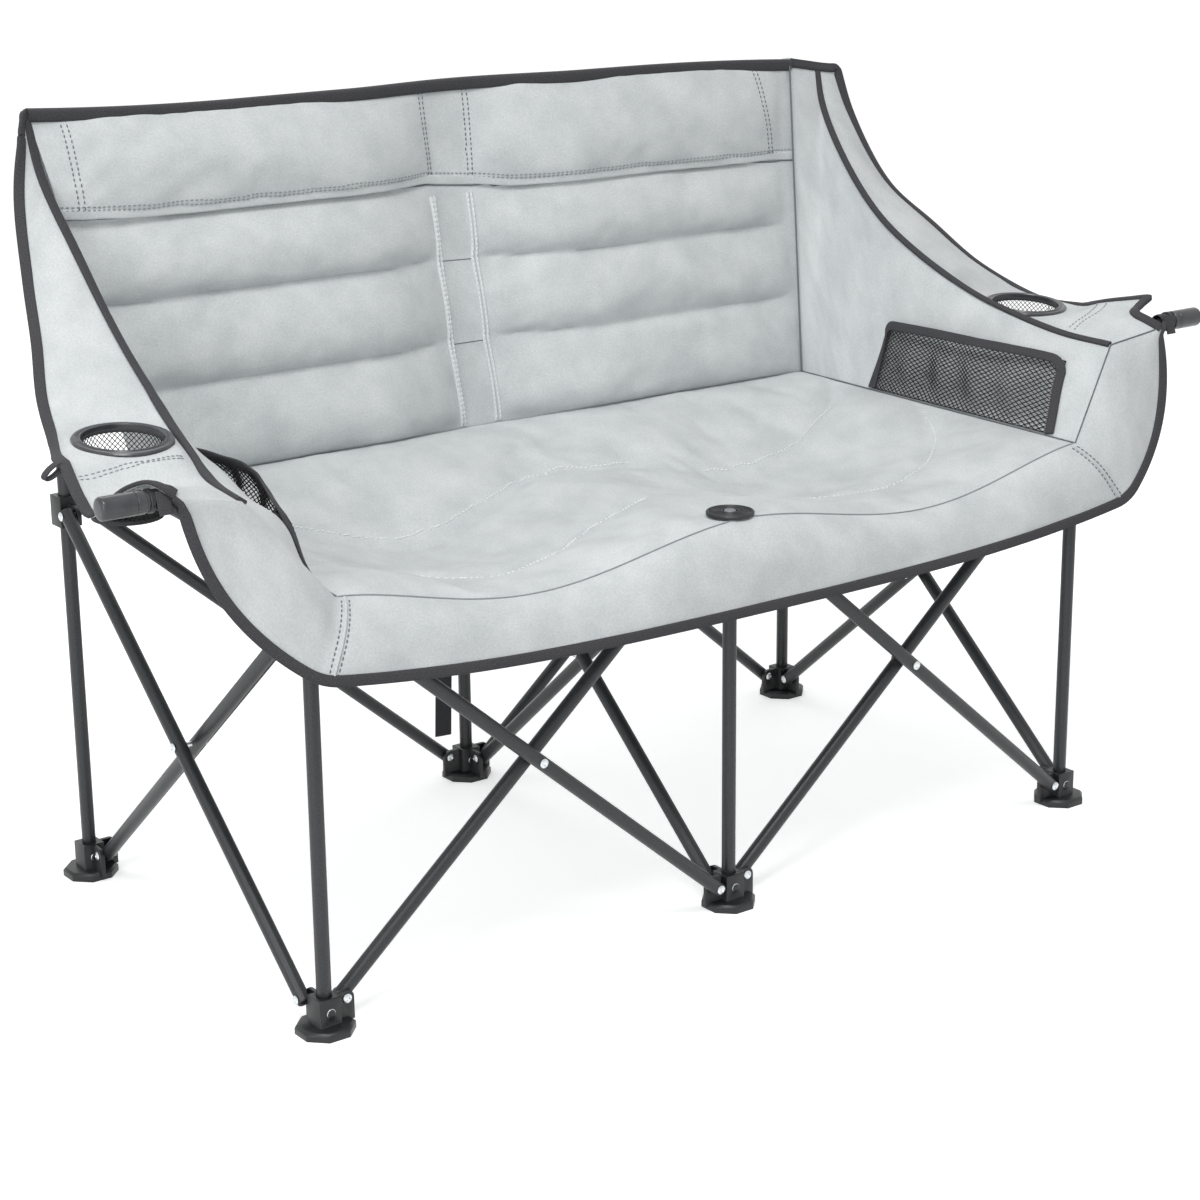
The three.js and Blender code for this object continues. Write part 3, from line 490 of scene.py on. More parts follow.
def swept_tube(name, points, diameter, sides=12):
    line = bpy.data.curves.new(name, "CURVE")
    line.dimensions = "3D"
    line.bevel_depth = diameter / 2
    line.bevel_resolution = sides
    line.use_fill_caps = True
    spline = line.splines.new("POLY")
    spline.points.add(len(points) - 1)
    for knot, point in zip(spline.points, points):
        knot.co = (*point, 1)
    tube = bpy.data.objects.new(name, line)
    bpy.context.scene.collection.objects.link(tube)
    select_only(tube)
    bpy.ops.object.convert(target="MESH")
    return settle(bpy.context.active_object, name)


def bezier(a, b, c, d, share):
    left = 1 - share
    return a * left ** 3 + b * 3 * left ** 2 * share + c * 3 * left * share ** 2 + d * share ** 3


def arm_line(low, high, along):
    climb = (high - low).normalized()
    way = along.x
    level = Vector((0, front_row + ARM_TIP_DEPTH, 0))
    tip = Vector((way * ARM_TIP_REACH, level.y, ARM_TIP_HEIGHT))
    straight_end = high + climb * ARM_STRAIGHT_PAST_HUB
    steps_up = (ARM_TIP_HEIGHT - low.z) / climb.z
    corner = low + climb * steps_up
    ease_in = straight_end.lerp(corner, ARM_SWAY_SHARE)
    corner.y = level.y
    wrist = corner + Vector((way * ARM_BEND_REACH, 0, 0))
    bend = [bezier(straight_end, ease_in, corner, wrist, k / BEND_STEPS)
            for k in range(BEND_STEPS + 1)]
    return [low - climb * BAR_PAST_PIVOT, *bend, tip]


for name, first, second, side, rising_node in BAYS:
    if rising_node.startswith("arm"):
        rising, falling, along, across = bay_lines(first, second, side)
        arm = swept_tube(f"{rising_node}_tube", arm_line(*rising, along), TUBE_DIAMETER)
        smooth(arm, 50)
        dress(arm, steel, body_of_node[rising_node], [rising_node])
print("bars made", len(BAYS) * 2)

# %% [markdown]
# Turned shapes, such as rivets, rings and caps, come from half an outline that is spun round an
# axis. The outline is a small loop of points, each a radius and a height. Where it starts and ends on
# the axis it is left open there, because a wall along the axis would be inside the shape.

# %% Turned pieces
WELD = 0.001 * MM


def turned(name, outline, centre, axis=UP, steps=48, closed=True):
    bpy.ops.mesh.primitive_circle_add(vertices=len(outline), radius=1, fill_type="NOTHING")
    piece = bpy.context.active_object
    for vertex, (radius, height) in zip(piece.data.vertices, outline):
        vertex.co = (radius, 0, height)
    if not closed:
        cut = bmesh.new()
        cut.from_mesh(piece.data)
        cut.verts.ensure_lookup_table()
        cut.edges.remove(cut.edges.get((cut.verts[0], cut.verts[-1])))
        cut.to_mesh(piece.data)
        cut.free()
    apply_modifier(piece, "SCREW", axis="Z", angle=2 * math.pi, steps=steps, render_steps=steps,
                   use_merge_vertices=True, merge_threshold=WELD, use_smooth_shade=True)
    select_only(piece)
    bpy.ops.object.mode_set(mode="EDIT")
    bpy.ops.mesh.select_all(action="SELECT")
    bpy.ops.mesh.remove_doubles(threshold=WELD)
    bpy.ops.mesh.normals_make_consistent(inside=False)
    bpy.ops.object.mode_set(mode="OBJECT")
    piece.location = centre
    piece.rotation_mode = "QUATERNION"
    piece.rotation_quaternion = Vector(axis).to_track_quat("Z", "Y")
    settle(piece, name)
    smooth(piece)
    return piece


# %% [markdown]
# Rivets. Each is a tubular rivet: a stem through both tubes with a low domed head at each end, and
# a dimple in the head where the tool rolled it over.

# %% Rivets
RIVET_RADIUS = 2.8 * MM
RIVET_HEAD_RADIUS = 5.2 * MM
RIVET_DOME = 1.8 * MM
RIVET_DIMPLE = 1.7 * MM


def rivet(name, centre, axis, near, far):
    """A rivet along axis; near and far are where the undersides of its heads lie."""
    head, dimple = RIVET_HEAD_RADIUS, RIVET_DIMPLE
    upper = [(RIVET_RADIUS, far), (head, far), (head, far + RIVET_DOME / 3),
             (head * 0.8, far + RIVET_DOME * 0.85), (dimple * 1.3, far + RIVET_DOME),
             (dimple, far + RIVET_DOME * 0.6), (0, far + RIVET_DOME * 0.5)]
    lower = [(radius, near + far - height) for radius, height in reversed(upper)]
    return turned(name, lower + upper, centre, axis, steps=24, closed=False)


ear_far = TUBE_DIAMETER / 2 + 2 * RUNNING_GAP + EAR_THICKNESS
crossing = bar_offset + TUBE_DIAMETER / 2 + RUNNING_GAP
for name, first, second, side, rising_node in BAYS:
    rising, falling, along, across = bay_lines(first, second, side)
    rising_node = rising_node if rising_node.startswith("arm") else f"{name}_bar_rising"
    bars = ((rising_node, rising, -across), (f"{name}_bar_falling", falling, across))
    for node, ends, inward in bars:
        pair = [rivet("end_rivet", end, inward, -TUBE_DIAMETER / 2, ear_far) for end in ends]
        dress(joined(pair, f"{node}_end_rivets"), zinc, body_of_node[node])
    centre = (rising[0] + rising[1] + falling[0] + falling[1]) / 4
    pin = rivet(f"{name}_crossing_rivet", centre, across, -crossing, crossing)
    dress(pin, zinc, body_of_node[f"{name}_centre_rivet"], [f"{name}_centre_rivet"])
print("rivets made")

# %% [markdown]
# Feet and hubs are injection-moulded, so every edge has a small radius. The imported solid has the
# right shape with sharp edges, so a copy of it is merged, its flat faces are cleaned up and its edges
# are rounded with a bevel.

# %% Moulded feet, hubs and post caps
MOULD_RADIUS = 0.9 * MM
MOULD_WELD = 0.01 * MM
FLAT_ANGLE, SHARP_ANGLE = 2, 40


def moulded_copy(node, width=MOULD_RADIUS):
    copy = frame["nodes"][node].copy()
    copy.data = frame["nodes"][node].data.copy()
    bpy.context.scene.collection.objects.link(copy)
    copy.parent = None
    for key in list(copy.keys()):
        del copy[key]
    select_only(copy)
    bpy.ops.object.mode_set(mode="EDIT")
    bpy.ops.mesh.select_all(action="SELECT")
    bpy.ops.mesh.remove_doubles(threshold=MOULD_WELD)
    bpy.ops.mesh.dissolve_limited(angle_limit=math.radians(FLAT_ANGLE))
    bpy.ops.object.mode_set(mode="OBJECT")
    settle(copy, f"{node}_moulding")
    apply_modifier(copy, "BEVEL", width=width, segments=2, limit_method="ANGLE",
                   angle_limit=math.radians(SHARP_ANGLE))
    smooth(copy, SHARP_ANGLE)
    return copy


POST_RIVET_HEIGHT = 24 * MM
SOCKET_HALF = 13 * MM
for node, body in body_of_node.items():
    if "_foot_" in node or "_hub_" in node or "post_cap" in node:
        dress(moulded_copy(node), nylon, body, [node])
    if "_foot_" in node:
        centre = middle_of(node.replace("foot", "post"))
        centre.z = POST_RIVET_HEIGHT
        pin = rivet(f"{node}_rivet", centre, Vector((0, 1, 0)), -SOCKET_HALF, SOCKET_HALF)
        dress(pin, zinc, body)
print("mouldings made")

# %% [markdown]
# The arm caps are glossy sleeves with a narrower collar, pushed on the ends of the arm tubes. Each
# has a rounded end, a shallow groove and a step where the collar begins.

# %% Arm caps
CAP_RADIUS = 11.75 * MM
COLLAR_RADIUS = 10 * MM
CAP_LENGTH = 46 * MM
COLLAR_LENGTH = 7 * MM
CAP_WALL = 4 * MM
CAP_ROUND = 3.5 * MM
CAP_GROOVE = 0.7 * MM
CAP_GROOVE_SHARE = 0.18
CAP_DOME = 0.3 * MM
WAY = {"left": -1, "right": 1}


def arm_cap(side):
    bore = TUBE_DIAMETER / 2 + RUNNING_GAP
    end = CAP_LENGTH
    floor = end - CAP_WALL
    groove = CAP_LENGTH * CAP_GROOVE_SHARE
    corner = [(CAP_RADIUS - CAP_ROUND * (1 - math.cos(t)), end - CAP_ROUND * (1 - math.sin(t)))
              for t in (math.pi * k / 12 for k in range(7))]
    step = CAP_RADIUS - CAP_GROOVE
    outline = [(bore, -COLLAR_LENGTH), (COLLAR_RADIUS, -COLLAR_LENGTH), (COLLAR_RADIUS, -CAP_GROOVE),
               (step, -CAP_GROOVE), (CAP_RADIUS, 0), (CAP_RADIUS, groove),
               (step, groove + CAP_GROOVE), (CAP_RADIUS, groove + 2 * CAP_GROOVE), *corner,
               (COLLAR_RADIUS / 2, end + CAP_DOME), (0, end + CAP_DOME), (0, floor), (bore, floor)]
    open_end = ARM_TIP_REACH + RUNNING_GAP + CAP_WALL - CAP_LENGTH
    start = Vector((WAY[side] * open_end, front_row + ARM_TIP_DEPTH, ARM_TIP_HEIGHT))
    cap = turned(f"arm_cap_{side}_sleeve", outline, start, Vector((WAY[side], 0, 0)))
    dress(cap, gloss_nylon, body_of_node[f"arm_cap_{side}"], [f"arm_cap_{side}"])


for side in WAY:
    arm_cap(side)
print("arm caps made")

# %% [markdown]
# The cover's pattern. Its seams are curves. The crease in front of the seat and the seam behind it
# each follow a formula, and three edges of each wing are smooth curves through a few measured points.
# Every panel hangs between two of these curves, so neighbours meet along the seam that they share.

# %% Seam curves of the cover
LEAST_KNOT = 1e-6


def lerp(a, b, share):
    return a + (b - a) * share


def clamped(value):
    return min(1, max(0, value))


def faded(place, run):
    """1 where place is 0, falling softly to 0 where it reaches run."""
    return max(0, 1 - place / run) ** 2


def through(points, share):
    """A point on the smooth curve through points, with share from 0 to 1 along its knots."""
    knots = [points[0] * 2 - points[1], *points, points[-1] * 2 - points[-2]]
    place = min(max(share, 0.0), 1.0) * (len(points) - 1)
    k = min(int(place), len(points) - 2)
    a, b, c, d = knots[k:k + 4]
    t = [0.0]
    for p, q in ((a, b), (b, c), (c, d)):
        t.append(t[-1] + max((q - p).length ** 0.5, LEAST_KNOT))
    s = lerp(t[1], t[2], place - k)

    def between(p, q, lower, upper):
        return p * ((upper - s) / (upper - lower)) + q * ((s - lower) / (upper - lower))

    ab, bc, cd = between(a, b, t[0], t[1]), between(b, c, t[1], t[2]), between(c, d, t[2], t[3])
    return between(between(ab, bc, t[0], t[2]), between(bc, cd, t[1], t[3]), t[1], t[2])


def at(x, y, z):
    """A point in millimetres from the middle of the front row of posts, in the row frame."""
    return Vector((x * MM, front_row + y * MM, z * MM))


SEAT_FRONT_HALF, SEAT_REAR_HALF = 520, 490
SEAT_FRONT_LINE, SEAT_REAR_LINE = -21, 448
SEAT_FRONT_HEIGHT, SEAT_REAR_HEIGHT, SEAT_CREST_HEIGHT = 471, 487, 464
SEAT_FRONT_DIP, SEAT_SAG, SEAT_CREST_SAG, SEAT_TUCK_DROP = 36, 46, 26, 10
DIP_LEAN, DIP_SHARPNESS = 1.1, 1.6
BACK_TOP_LEFT, BACK_TOP_RIGHT = -572, 510
BACK_TOP_LINE, BACK_TOP_HEIGHT, BACK_TOP_ARCH = 503, 897, 3
TOP_RISE = {"left": 10, "right": -6}
TOP_RISE_RUN = 0.24
TUCK_BOTTOM, TUCK_TOP, TUCK_HALF = 40, 22, 170
LOW_SEAM, HIGH_SEAM, HEADREST_LINE = 590, 690, 780
RIGHT_SEAM_DROP = {LOW_SEAM: 1, HIGH_SEAM: 5, HEADREST_LINE: 12}


def tuck(x, height_share):
    return lerp(TUCK_BOTTOM, TUCK_TOP, height_share) * max(0, 1 - (x / TUCK_HALF) ** 2) ** 2


def rear_seam(share):
    x = lerp(-SEAT_REAR_HALF, SEAT_REAR_HALF, share)
    drawn = tuck(x, 0)
    return at(x, SEAT_REAR_LINE + drawn, SEAT_REAR_HEIGHT - SEAT_TUCK_DROP * drawn / TUCK_BOTTOM)


def front_crease(share):
    away = min(1, abs(2 * share - 1))
    lift = away ** 2 * (SEAT_FRONT_HEIGHT - SEAT_CREST_HEIGHT)
    dip = SEAT_FRONT_DIP * max(0, math.sin(math.pi * away ** DIP_LEAN)) ** DIP_SHARPNESS
    return at(lerp(-SEAT_FRONT_HALF, SEAT_FRONT_HALF, share), SEAT_FRONT_LINE,
              SEAT_CREST_HEIGHT + lift - dip)


def wing_line(rear, front, runs, drops, flares):
    """The points of a wing's edge, as shares of the way from its rear end to its front end."""
    return [at(*(lerp(rear[k], front[k], share) for k, share in enumerate((flare, run, drop))))
            for run, drop, flare in zip(runs, drops, flares)]


INNER_REAR, INNER_FRONT = (556, 502, 893), (604, 6, 577)
OUTER_REAR, OUTER_FRONT = (582, 492, 894), (690, -12, 606)
SEAT_EDGE_RUN = [0, 0.06, 0.13, 0.21, 0.31, 0.45, 0.6, 0.77, 1]
inner_edge = wing_line(INNER_REAR, INNER_FRONT,
                       [0, 0.036, 0.145, 0.268, 0.391, 0.579, 0.713, 0.855, 1],
                       [0, 0.193, 0.421, 0.611, 0.738, 0.874, 0.937, 0.987, 1],
                       [0, -0.06, -0.15, -0.1, 0.06, 0.33, 0.56, 0.85, 1])
outer_edge = wing_line(OUTER_REAR, OUTER_FRONT,
                       [0, 0.024, 0.127, 0.25, 0.377, 0.556, 0.683, 0.827, 1],
                       [0, 0.257, 0.57, 0.743, 0.916, 1.035, 1.03, 1.014, 1],
                       [0, 0.167, 0.361, 0.583, 0.833, 1.065, 1.167, 1.139, 1])
seat_edge = wing_line((SEAT_REAR_HALF, SEAT_REAR_LINE, SEAT_REAR_HEIGHT),
                      (SEAT_FRONT_HALF, SEAT_FRONT_LINE, SEAT_FRONT_HEIGHT),
                      SEAT_EDGE_RUN, SEAT_EDGE_RUN, SEAT_EDGE_RUN)
print("seat seams", 2 * SEAT_FRONT_HALF, "mm in front and", 2 * SEAT_REAR_HALF, "mm behind")

# %% [markdown]
# Every panel of cloth starts as a grid. Each of its points is moved to its place on the panel. Then
# the grid's UV map is set to real metres: across, it is the length walked along a row of points from
# the middle, and upwards the length walked along a column. So the weave has one size on the whole
# cover.

# %% Panels of cloth


def walked(points):
    """The length walked to each of the points, counted from the middle one."""
    lengths = [0.0]
    for a, b in zip(points, points[1:]):
        lengths.append(lengths[-1] + (b - a).length)
    return [length - lengths[len(points) // 2] for length in lengths]


def panel(name, columns, rows, place):
    bpy.ops.object.select_all(action="DESELECT")
    bpy.ops.mesh.primitive_grid_add(x_subdivisions=columns, y_subdivisions=rows, size=1)
    piece = bpy.context.active_object
    for vertex in piece.data.vertices:
        vertex.co = place(vertex.co.x + 0.5, vertex.co.y + 0.5)
    across, wide = {}, columns + 1
    spots = [vertex.co for vertex in piece.data.vertices]
    for row in range(rows + 1):
        for column, length in enumerate(walked(spots[row * wide:(row + 1) * wide])):
            across[row * wide + column] = length
    along = {}
    for column in range(wide):
        for row, length in enumerate(walked(spots[column::wide])):
            along[row * wide + column] = length
    for loop, corner in zip(piece.data.loops, piece.data.uv_layers.active.data):
        corner.uv = (across[loop.vertex_index], along[loop.vertex_index])
    return settle(piece, name)


def grid_shares(index, columns, rows):
    """Where a panel's vertex lies on it, as shares across and up."""
    return (index % (columns + 1)) / columns, (index // (columns + 1)) / rows


def to_rim(share, other):
    """The least of the shares from a place to the four edges of its panel."""
    return min(share, 1 - share, other, 1 - other)


def face_towards(piece, direction):
    """Turns an open panel so that its faces look along direction, on the whole."""
    total = sum((polygon.normal * polygon.area for polygon in piece.data.polygons), Vector())
    if total.dot(Vector(direction)) < 0:
        piece.data.flip_normals()


def soft_noise(point, size, seed=0.0):
    return noise.noise(point / size + Vector((seed, seed * 1.7, -seed)))


# %% [markdown]
# The back is two padded halves with a flat strip between them. The padding is sewn through along
# three lines, which leaves three puffed channels under a broad headrest. The strip is drawn back to
# the middle post. The channels start a little puffed, and a short cloth simulation then fills them:
# the sewn lines are pinned, the cloth gets a little slack, and pressure pushes it out until it
# puckers at the seams, as cloth over wadding does.

# %% The shape of the back before it is filled
BACK_COLUMNS, BACK_ROWS = 200, 120
BACK_START_PUFF = 17
CHANNEL_SAG = 0.62
CHANNEL_ROUND = 0.72
PAD_SQUARENESS = 6
DROP_HALF = 60
BOUND_HEIGHT = 14
STRIP_HEIGHTS = [487, 590, 690, 765, 785, 897]
STRIP_MIDDLES = [-1, -11, -19, -22, -21, -23]
STRIP_HALVES = [21.5, 22, 22, 23, 25.5, 30]


def back_sheet(share, height_share):
    """The sewn back without its filling."""
    top_x = lerp(BACK_TOP_LEFT, BACK_TOP_RIGHT, share)
    arch = BACK_TOP_ARCH * (1 - (2 * share - 1) ** 2)
    arch += TOP_RISE["left"] * faded(share, TOP_RISE_RUN)
    arch += TOP_RISE["right"] * faded(1 - share, TOP_RISE_RUN)
    top = at(top_x, BACK_TOP_LINE + tuck(top_x, 1), BACK_TOP_HEIGHT + arch)
    return rear_seam(share).lerp(top, height_share)


def seam_height(level, x):
    """A sewn line's height: level on the left half, and a little lower on the right."""
    return level - RIGHT_SEAM_DROP[level] * clamped((x + DROP_HALF) / (2 * DROP_HALF))


def channel(x, height):
    """0 on a sewn line and 1 at the fullest place of a channel, which is below its middle."""
    seams = [seam_height(level, x) for level in (LOW_SEAM, HIGH_SEAM, HEADREST_LINE)]
    levels = [SEAT_REAR_HEIGHT, *seams, BACK_TOP_HEIGHT - BOUND_HEIGHT]
    for low, high in zip(levels, levels[1:]):
        if height <= high:
            rise = max(0, (height - low) / (high - low))
            return max(0, math.sin(math.pi * rise ** CHANNEL_SAG))
    return 0


def back_up(height):
    """The share of the back's height at a height in millimetres."""
    return (height - SEAT_REAR_HEIGHT) / (BACK_TOP_HEIGHT - SEAT_REAR_HEIGHT)


def back_share(x, height_share):
    """The share across the back at which its sheet passes x at a height."""
    left = lerp(-SEAT_REAR_HALF, BACK_TOP_LEFT, height_share)
    right = lerp(SEAT_REAR_HALF, BACK_TOP_RIGHT, height_share)
    return clamped((x - left) / (right - left))


def from_table(height, heights, values):
    for low, high, start, end in zip(heights, heights[1:], values, values[1:]):
        if height <= high:
            return lerp(start, end, max(0, (height - low) / (high - low)))
    return values[-1]


def strip_centre(height):
    return from_table(height, STRIP_HEIGHTS, STRIP_MIDDLES)


def strip_half(height):
    return from_table(height, STRIP_HEIGHTS, STRIP_HALVES)


def off_strip(x, height):
    """0 on the flat strip and at the outer seam, 1 over most of a padded half."""
    away = x - strip_centre(height)
    side = SEAT_REAR_HALF if away > 0 else -SEAT_REAR_HALF
    top = BACK_TOP_RIGHT if away > 0 else BACK_TOP_LEFT
    half = strip_half(height)
    width = abs(lerp(side, top, back_up(height))) - half
    across = clamped((abs(away) - half) / width)
    return max(0, 1 - abs(2 * across - 1) ** PAD_SQUARENESS)


def back_start(share, height_share):
    point = back_sheet(share, height_share)
    height = point.z / MM
    full = channel(point.x / MM, height) ** CHANNEL_ROUND
    puff = BACK_START_PUFF * full * off_strip(point.x / MM, height)
    return point + Vector((0, -puff * MM, 0))


# %% [markdown]
# `fill` is the filling recipe, shared by the back and the seat. It is a cloth simulation on one layer
# of cloth, stepped for twenty frames with gravity off, and applied. A cap on the movement keeps it in
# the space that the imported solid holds.

# %% Fill padded cloth
FILL_FRAMES = 20
SMOOTHING_ROUNDS = 10
POLYESTER_SETTINGS = {
    "quality": 6, "mass": 0.25, "tension_stiffness": 12, "compression_stiffness": 12,
    "shear_stiffness": 4, "bending_stiffness": 1.5, "vertex_group_mass": "sewn"}


def fill(piece, sewn, pressure, slack, cap):
    """Puffs the cloth between its sewn vertices, which stay where they are. slack is a share, and
    cap is the furthest that a vertex may move."""
    start = [vertex.co.copy() for vertex in piece.data.vertices]
    group = piece.vertex_groups.new(name="sewn")
    group.add(sewn, 1.0, "REPLACE")
    cloth = piece.modifiers.new("filling", "CLOTH")
    for name, value in POLYESTER_SETTINGS.items():
        setattr(cloth.settings, name, value)
    cloth.settings.use_pressure = True
    cloth.settings.uniform_pressure_force = pressure
    cloth.settings.shrink_min = -slack
    cloth.settings.effector_weights.gravity = 0
    for step in range(1, FILL_FRAMES + 1):
        bpy.context.scene.frame_set(step)
    select_only(piece)
    bpy.ops.object.modifier_apply(modifier=cloth.name)
    bpy.context.scene.frame_set(1)
    for vertex, old in zip(piece.data.vertices, start):
        move = vertex.co - old
        if move.length > cap:
            vertex.co = old + move * (cap / move.length)
    apply_modifier(piece, "SMOOTH", factor=0.5, iterations=SMOOTHING_ROUNDS,
                   vertex_group="sewn", invert_vertex_group=True)
    piece.vertex_groups.clear()


LINING_START = 4 * MM


def lined(piece, lining_place, columns, rows):
    """Adds the lining behind a pad, so that it is one closed body. lining_place gives its points."""
    count = len(piece.data.vertices)
    apply_modifier(piece, "SOLIDIFY", thickness=LINING_START, offset=-1)
    for vertex in piece.data.vertices[count:]:
        vertex.co = lining_place(*grid_shares(vertex.index - count, columns, rows))


# %% The back cushion
BACK_FILLING = {"pressure": 1.5, "slack": 0.003, "cap": 7 * MM}
LINING_GAP = 6 * MM
SEWN_HALF = 2.2
SEWN_PAST_STRIP = 2
SEAM_EDGE = 0.004
back = panel("back_cushion", BACK_COLUMNS, BACK_ROWS, back_start)
face_towards(back, (0, -1, 0))


def back_sewn(piece):
    sewn = []
    for vertex in piece.data.vertices:
        height, x = vertex.co.z / MM, vertex.co.x / MM
        from_lines = min(abs(height - seam_height(level, x)) for level in RIGHT_SEAM_DROP)
        near_line = from_lines < SEWN_HALF
        near_edge = to_rim(*grid_shares(vertex.index, BACK_COLUMNS, BACK_ROWS)) < SEAM_EDGE
        near_strip = abs(x - strip_centre(height)) < strip_half(height) + SEWN_PAST_STRIP
        if near_line or near_edge or near_strip:
            sewn.append(vertex.index)
    return sewn


fill(back, back_sewn(back), **BACK_FILLING)
lined(back, lambda share, up: back_sheet(share, up) + Vector((0, LINING_GAP, 0)),
      BACK_COLUMNS, BACK_ROWS)
smooth(back, 60)
dress(back, polyester, "root", ["back_panel"])
print("back cushion", len(back.data.polygons), "faces")

# %% [markdown]
# The seat hangs between the back seam, the wings and the front crease. It sags in the middle of each
# place and is held up at the crest between them, where the disc clamps it to the middle hub. Two
# long curved lines of stitching cross each half. The cloth between them is lightly padded.

# %% The shape of the seat
SEAT_COLUMNS, SEAT_ROWS = 208, 96
SAG_BREADTH = 0.8
GROOVE_DEPTH = 6.5
GROOVE_HALF = 12
SEAT_RIM, RIM_ROUND = 0.05, 0.6
SEAM_SINK = 1.5
WANDER, WANDER_SIZE, WANDER_RIM = 2.5, 90 * MM, 0.08
DISC_CLEAR = 30
LINE_STEPS = 60
SEAT_LINES = [
    [(-430, 190), (-365, 135), (-296, 78), (-199, 92), (-84, 142), (2, 167)],
    [(-470, 330), (-366, 284), (-241, 240), (-120, 278), (-30, 318), (92, 300)],
    [(60, 112), (170, 115), (315, 97), (400, 122), (465, 175), (505, 232)],
    [(180, 250), (265, 250), (354, 278), (430, 322), (485, 372)],
]


def smoothed(points, steps):
    spots = [Vector((x, y, 0)) for x, y in points]
    return [through(spots, k / steps) for k in range(steps + 1)]


seat_lines = [smoothed(points, LINE_STEPS) for points in SEAT_LINES]


def line_distance(point):
    """How far a point of the seat is from the nearest line of stitching, in millimetres."""
    spot = Vector((point.x / MM, (point.y - front_row) / MM, 0))
    return min((spot - stop).length for line in seat_lines for stop in line)


def disc_distance(point):
    """How far a point of the seat is from the middle of the disc, in millimetres."""
    return Vector((point.x, point.y - front_row)).length / MM


def seat_sheet(share, depth):
    """The seat without its padding."""
    away = min(1, abs(2 * share - 1))
    place = max(0, math.sin(math.pi * away)) ** SAG_BREADTH
    bow = math.sin(math.pi * depth) ** 2
    point = front_crease(share).lerp(rear_seam(share), depth)
    point.z -= bow * (place * SEAT_SAG + (1 - place) * (1 - away) * SEAT_CREST_SAG) * MM
    return point


def seat_start(share, depth):
    point = seat_sheet(share, depth)
    rim = to_rim(share, depth)
    inside = clamped(rim / SEAT_RIM)
    puff = 1 - math.exp(-(line_distance(point) / GROOVE_HALF) ** 2)
    lift = GROOVE_DEPTH * puff * inside ** RIM_ROUND - SEAM_SINK * inside
    wander = soft_noise(point, WANDER_SIZE, 3.0) * WANDER * clamped(rim / WANDER_RIM)
    free = clamped((disc_distance(point) - DISC_CLEAR) / DISC_CLEAR)
    return point + Vector((0, 0, (lift + wander) * free * MM))


# %% The seat cushion
SEAT_FILLING = {"pressure": 0.6, "slack": 0.008, "cap": 6 * MM}
SEAT_EDGE_THICKNESS, SEAT_PADDING = 4, 11
SEAT_SEWN_HALF = 3
DISC_PINNED = 34


def seat_lining(share, depth):
    place = math.sin(math.pi * min(1, abs(2 * share - 1)))
    drop = SEAT_EDGE_THICKNESS + SEAT_PADDING * place ** 2 * math.sin(math.pi * depth)
    return seat_sheet(share, depth) - Vector((0, 0, drop * MM))


seat = panel("seat_cushion", SEAT_COLUMNS, SEAT_ROWS, seat_start)
face_towards(seat, (0, 0, 1))


def seat_sewn(piece):
    sewn = []
    for vertex in piece.data.vertices:
        near_line = line_distance(vertex.co) < SEAT_SEWN_HALF
        near_disc = disc_distance(vertex.co) < DISC_PINNED
        near_edge = to_rim(*grid_shares(vertex.index, SEAT_COLUMNS, SEAT_ROWS)) < SEAM_EDGE
        if near_line or near_disc or near_edge:
            sewn.append(vertex.index)
    return sewn


fill(seat, seat_sewn(seat), **SEAT_FILLING)
lined(seat, seat_lining, SEAT_COLUMNS, SEAT_ROWS)
smooth(seat, 60)
dress(seat, polyester, "seat_cover", ["seat"])
print("seat cushion", len(seat.data.polygons), "faces")

# %% [markdown]
# The wings. Each is one panel that climbs the side as a wall, turns over the inner binding and runs
# out to the outer binding as the top of the arm. Its outer top corner is rounded: a square patch of
# the panel's own grid is mapped into a quarter circle, so cloth and binding share the same curve.

# %% The shape of a wing
WING_STATIONS, WING_ROWS = 120, 64
WING_BULGE = 8
WALL_CORNER = {"left": (571, 503, 907), "right": (510, 503, 891)}
LEFT_EDGE_DRIFT, LEFT_DRIFT_END = 18, 0.55
INNER_TOP_RISE = {"left": 12, "right": -9}
OUTER_TOP_RISE = {"left": 11, "right": -15}
INNER_RISE_RUN, OUTER_RISE_RUN = 0.12, 0.05
TIP_START, TIP_BLEND = 0.75, 0.2
TIP_EDGES = {
    "left": [(724, 150, 606), (732, 118, 595), (738, 88, 583), (739, 62, 573), (729, 47, 586),
             (716, 26, 604), (703, 4, 612), (694, -7, 606), (685, -10, 597)],
    "right": [(706, 148, 594), (700, 108, 605), (706, 72, 613), (715, 43, 618), (693, 36, 611),
              (671, 24, 607), (672, 8, 602), (676, -3, 597), (680, -9, 592)],
}
WALL_CORNER_HEIGHT, WALL_CORNER_RUN = 0.91, 0.12
WALL_ROLL = {"left": 30, "right": 8}
ROLL_START, ROLL_RISE, ROLL_END = 0.45, 0.3, 0.07
ROLL_PEAK = 0.63
ARM_CROWN, CROWN_END, CROWN_BLEND = 6, 0.8, 0.2
CROWN_REAR, CROWN_FRONT = 1 / 6, 1 / 9
CORNER_ROUND, CORNER_ROW_WIDTH, CORNER_RUN = 26, 68, 600
CUP_DEPTH = 182
CUP_REACH = {"left": 639, "right": 636}
CUP_TOP = {"left": 614, "right": 601}
CUP_SEAT_BELOW_TOP = 4
CUP_LEVEL_NEAR, CUP_LEVEL_FAR = 56, 96
CUP_FREE_INNER, CUP_FREE_OUTER = 0.12, 0.14
CUP_TILT = math.radians(6)


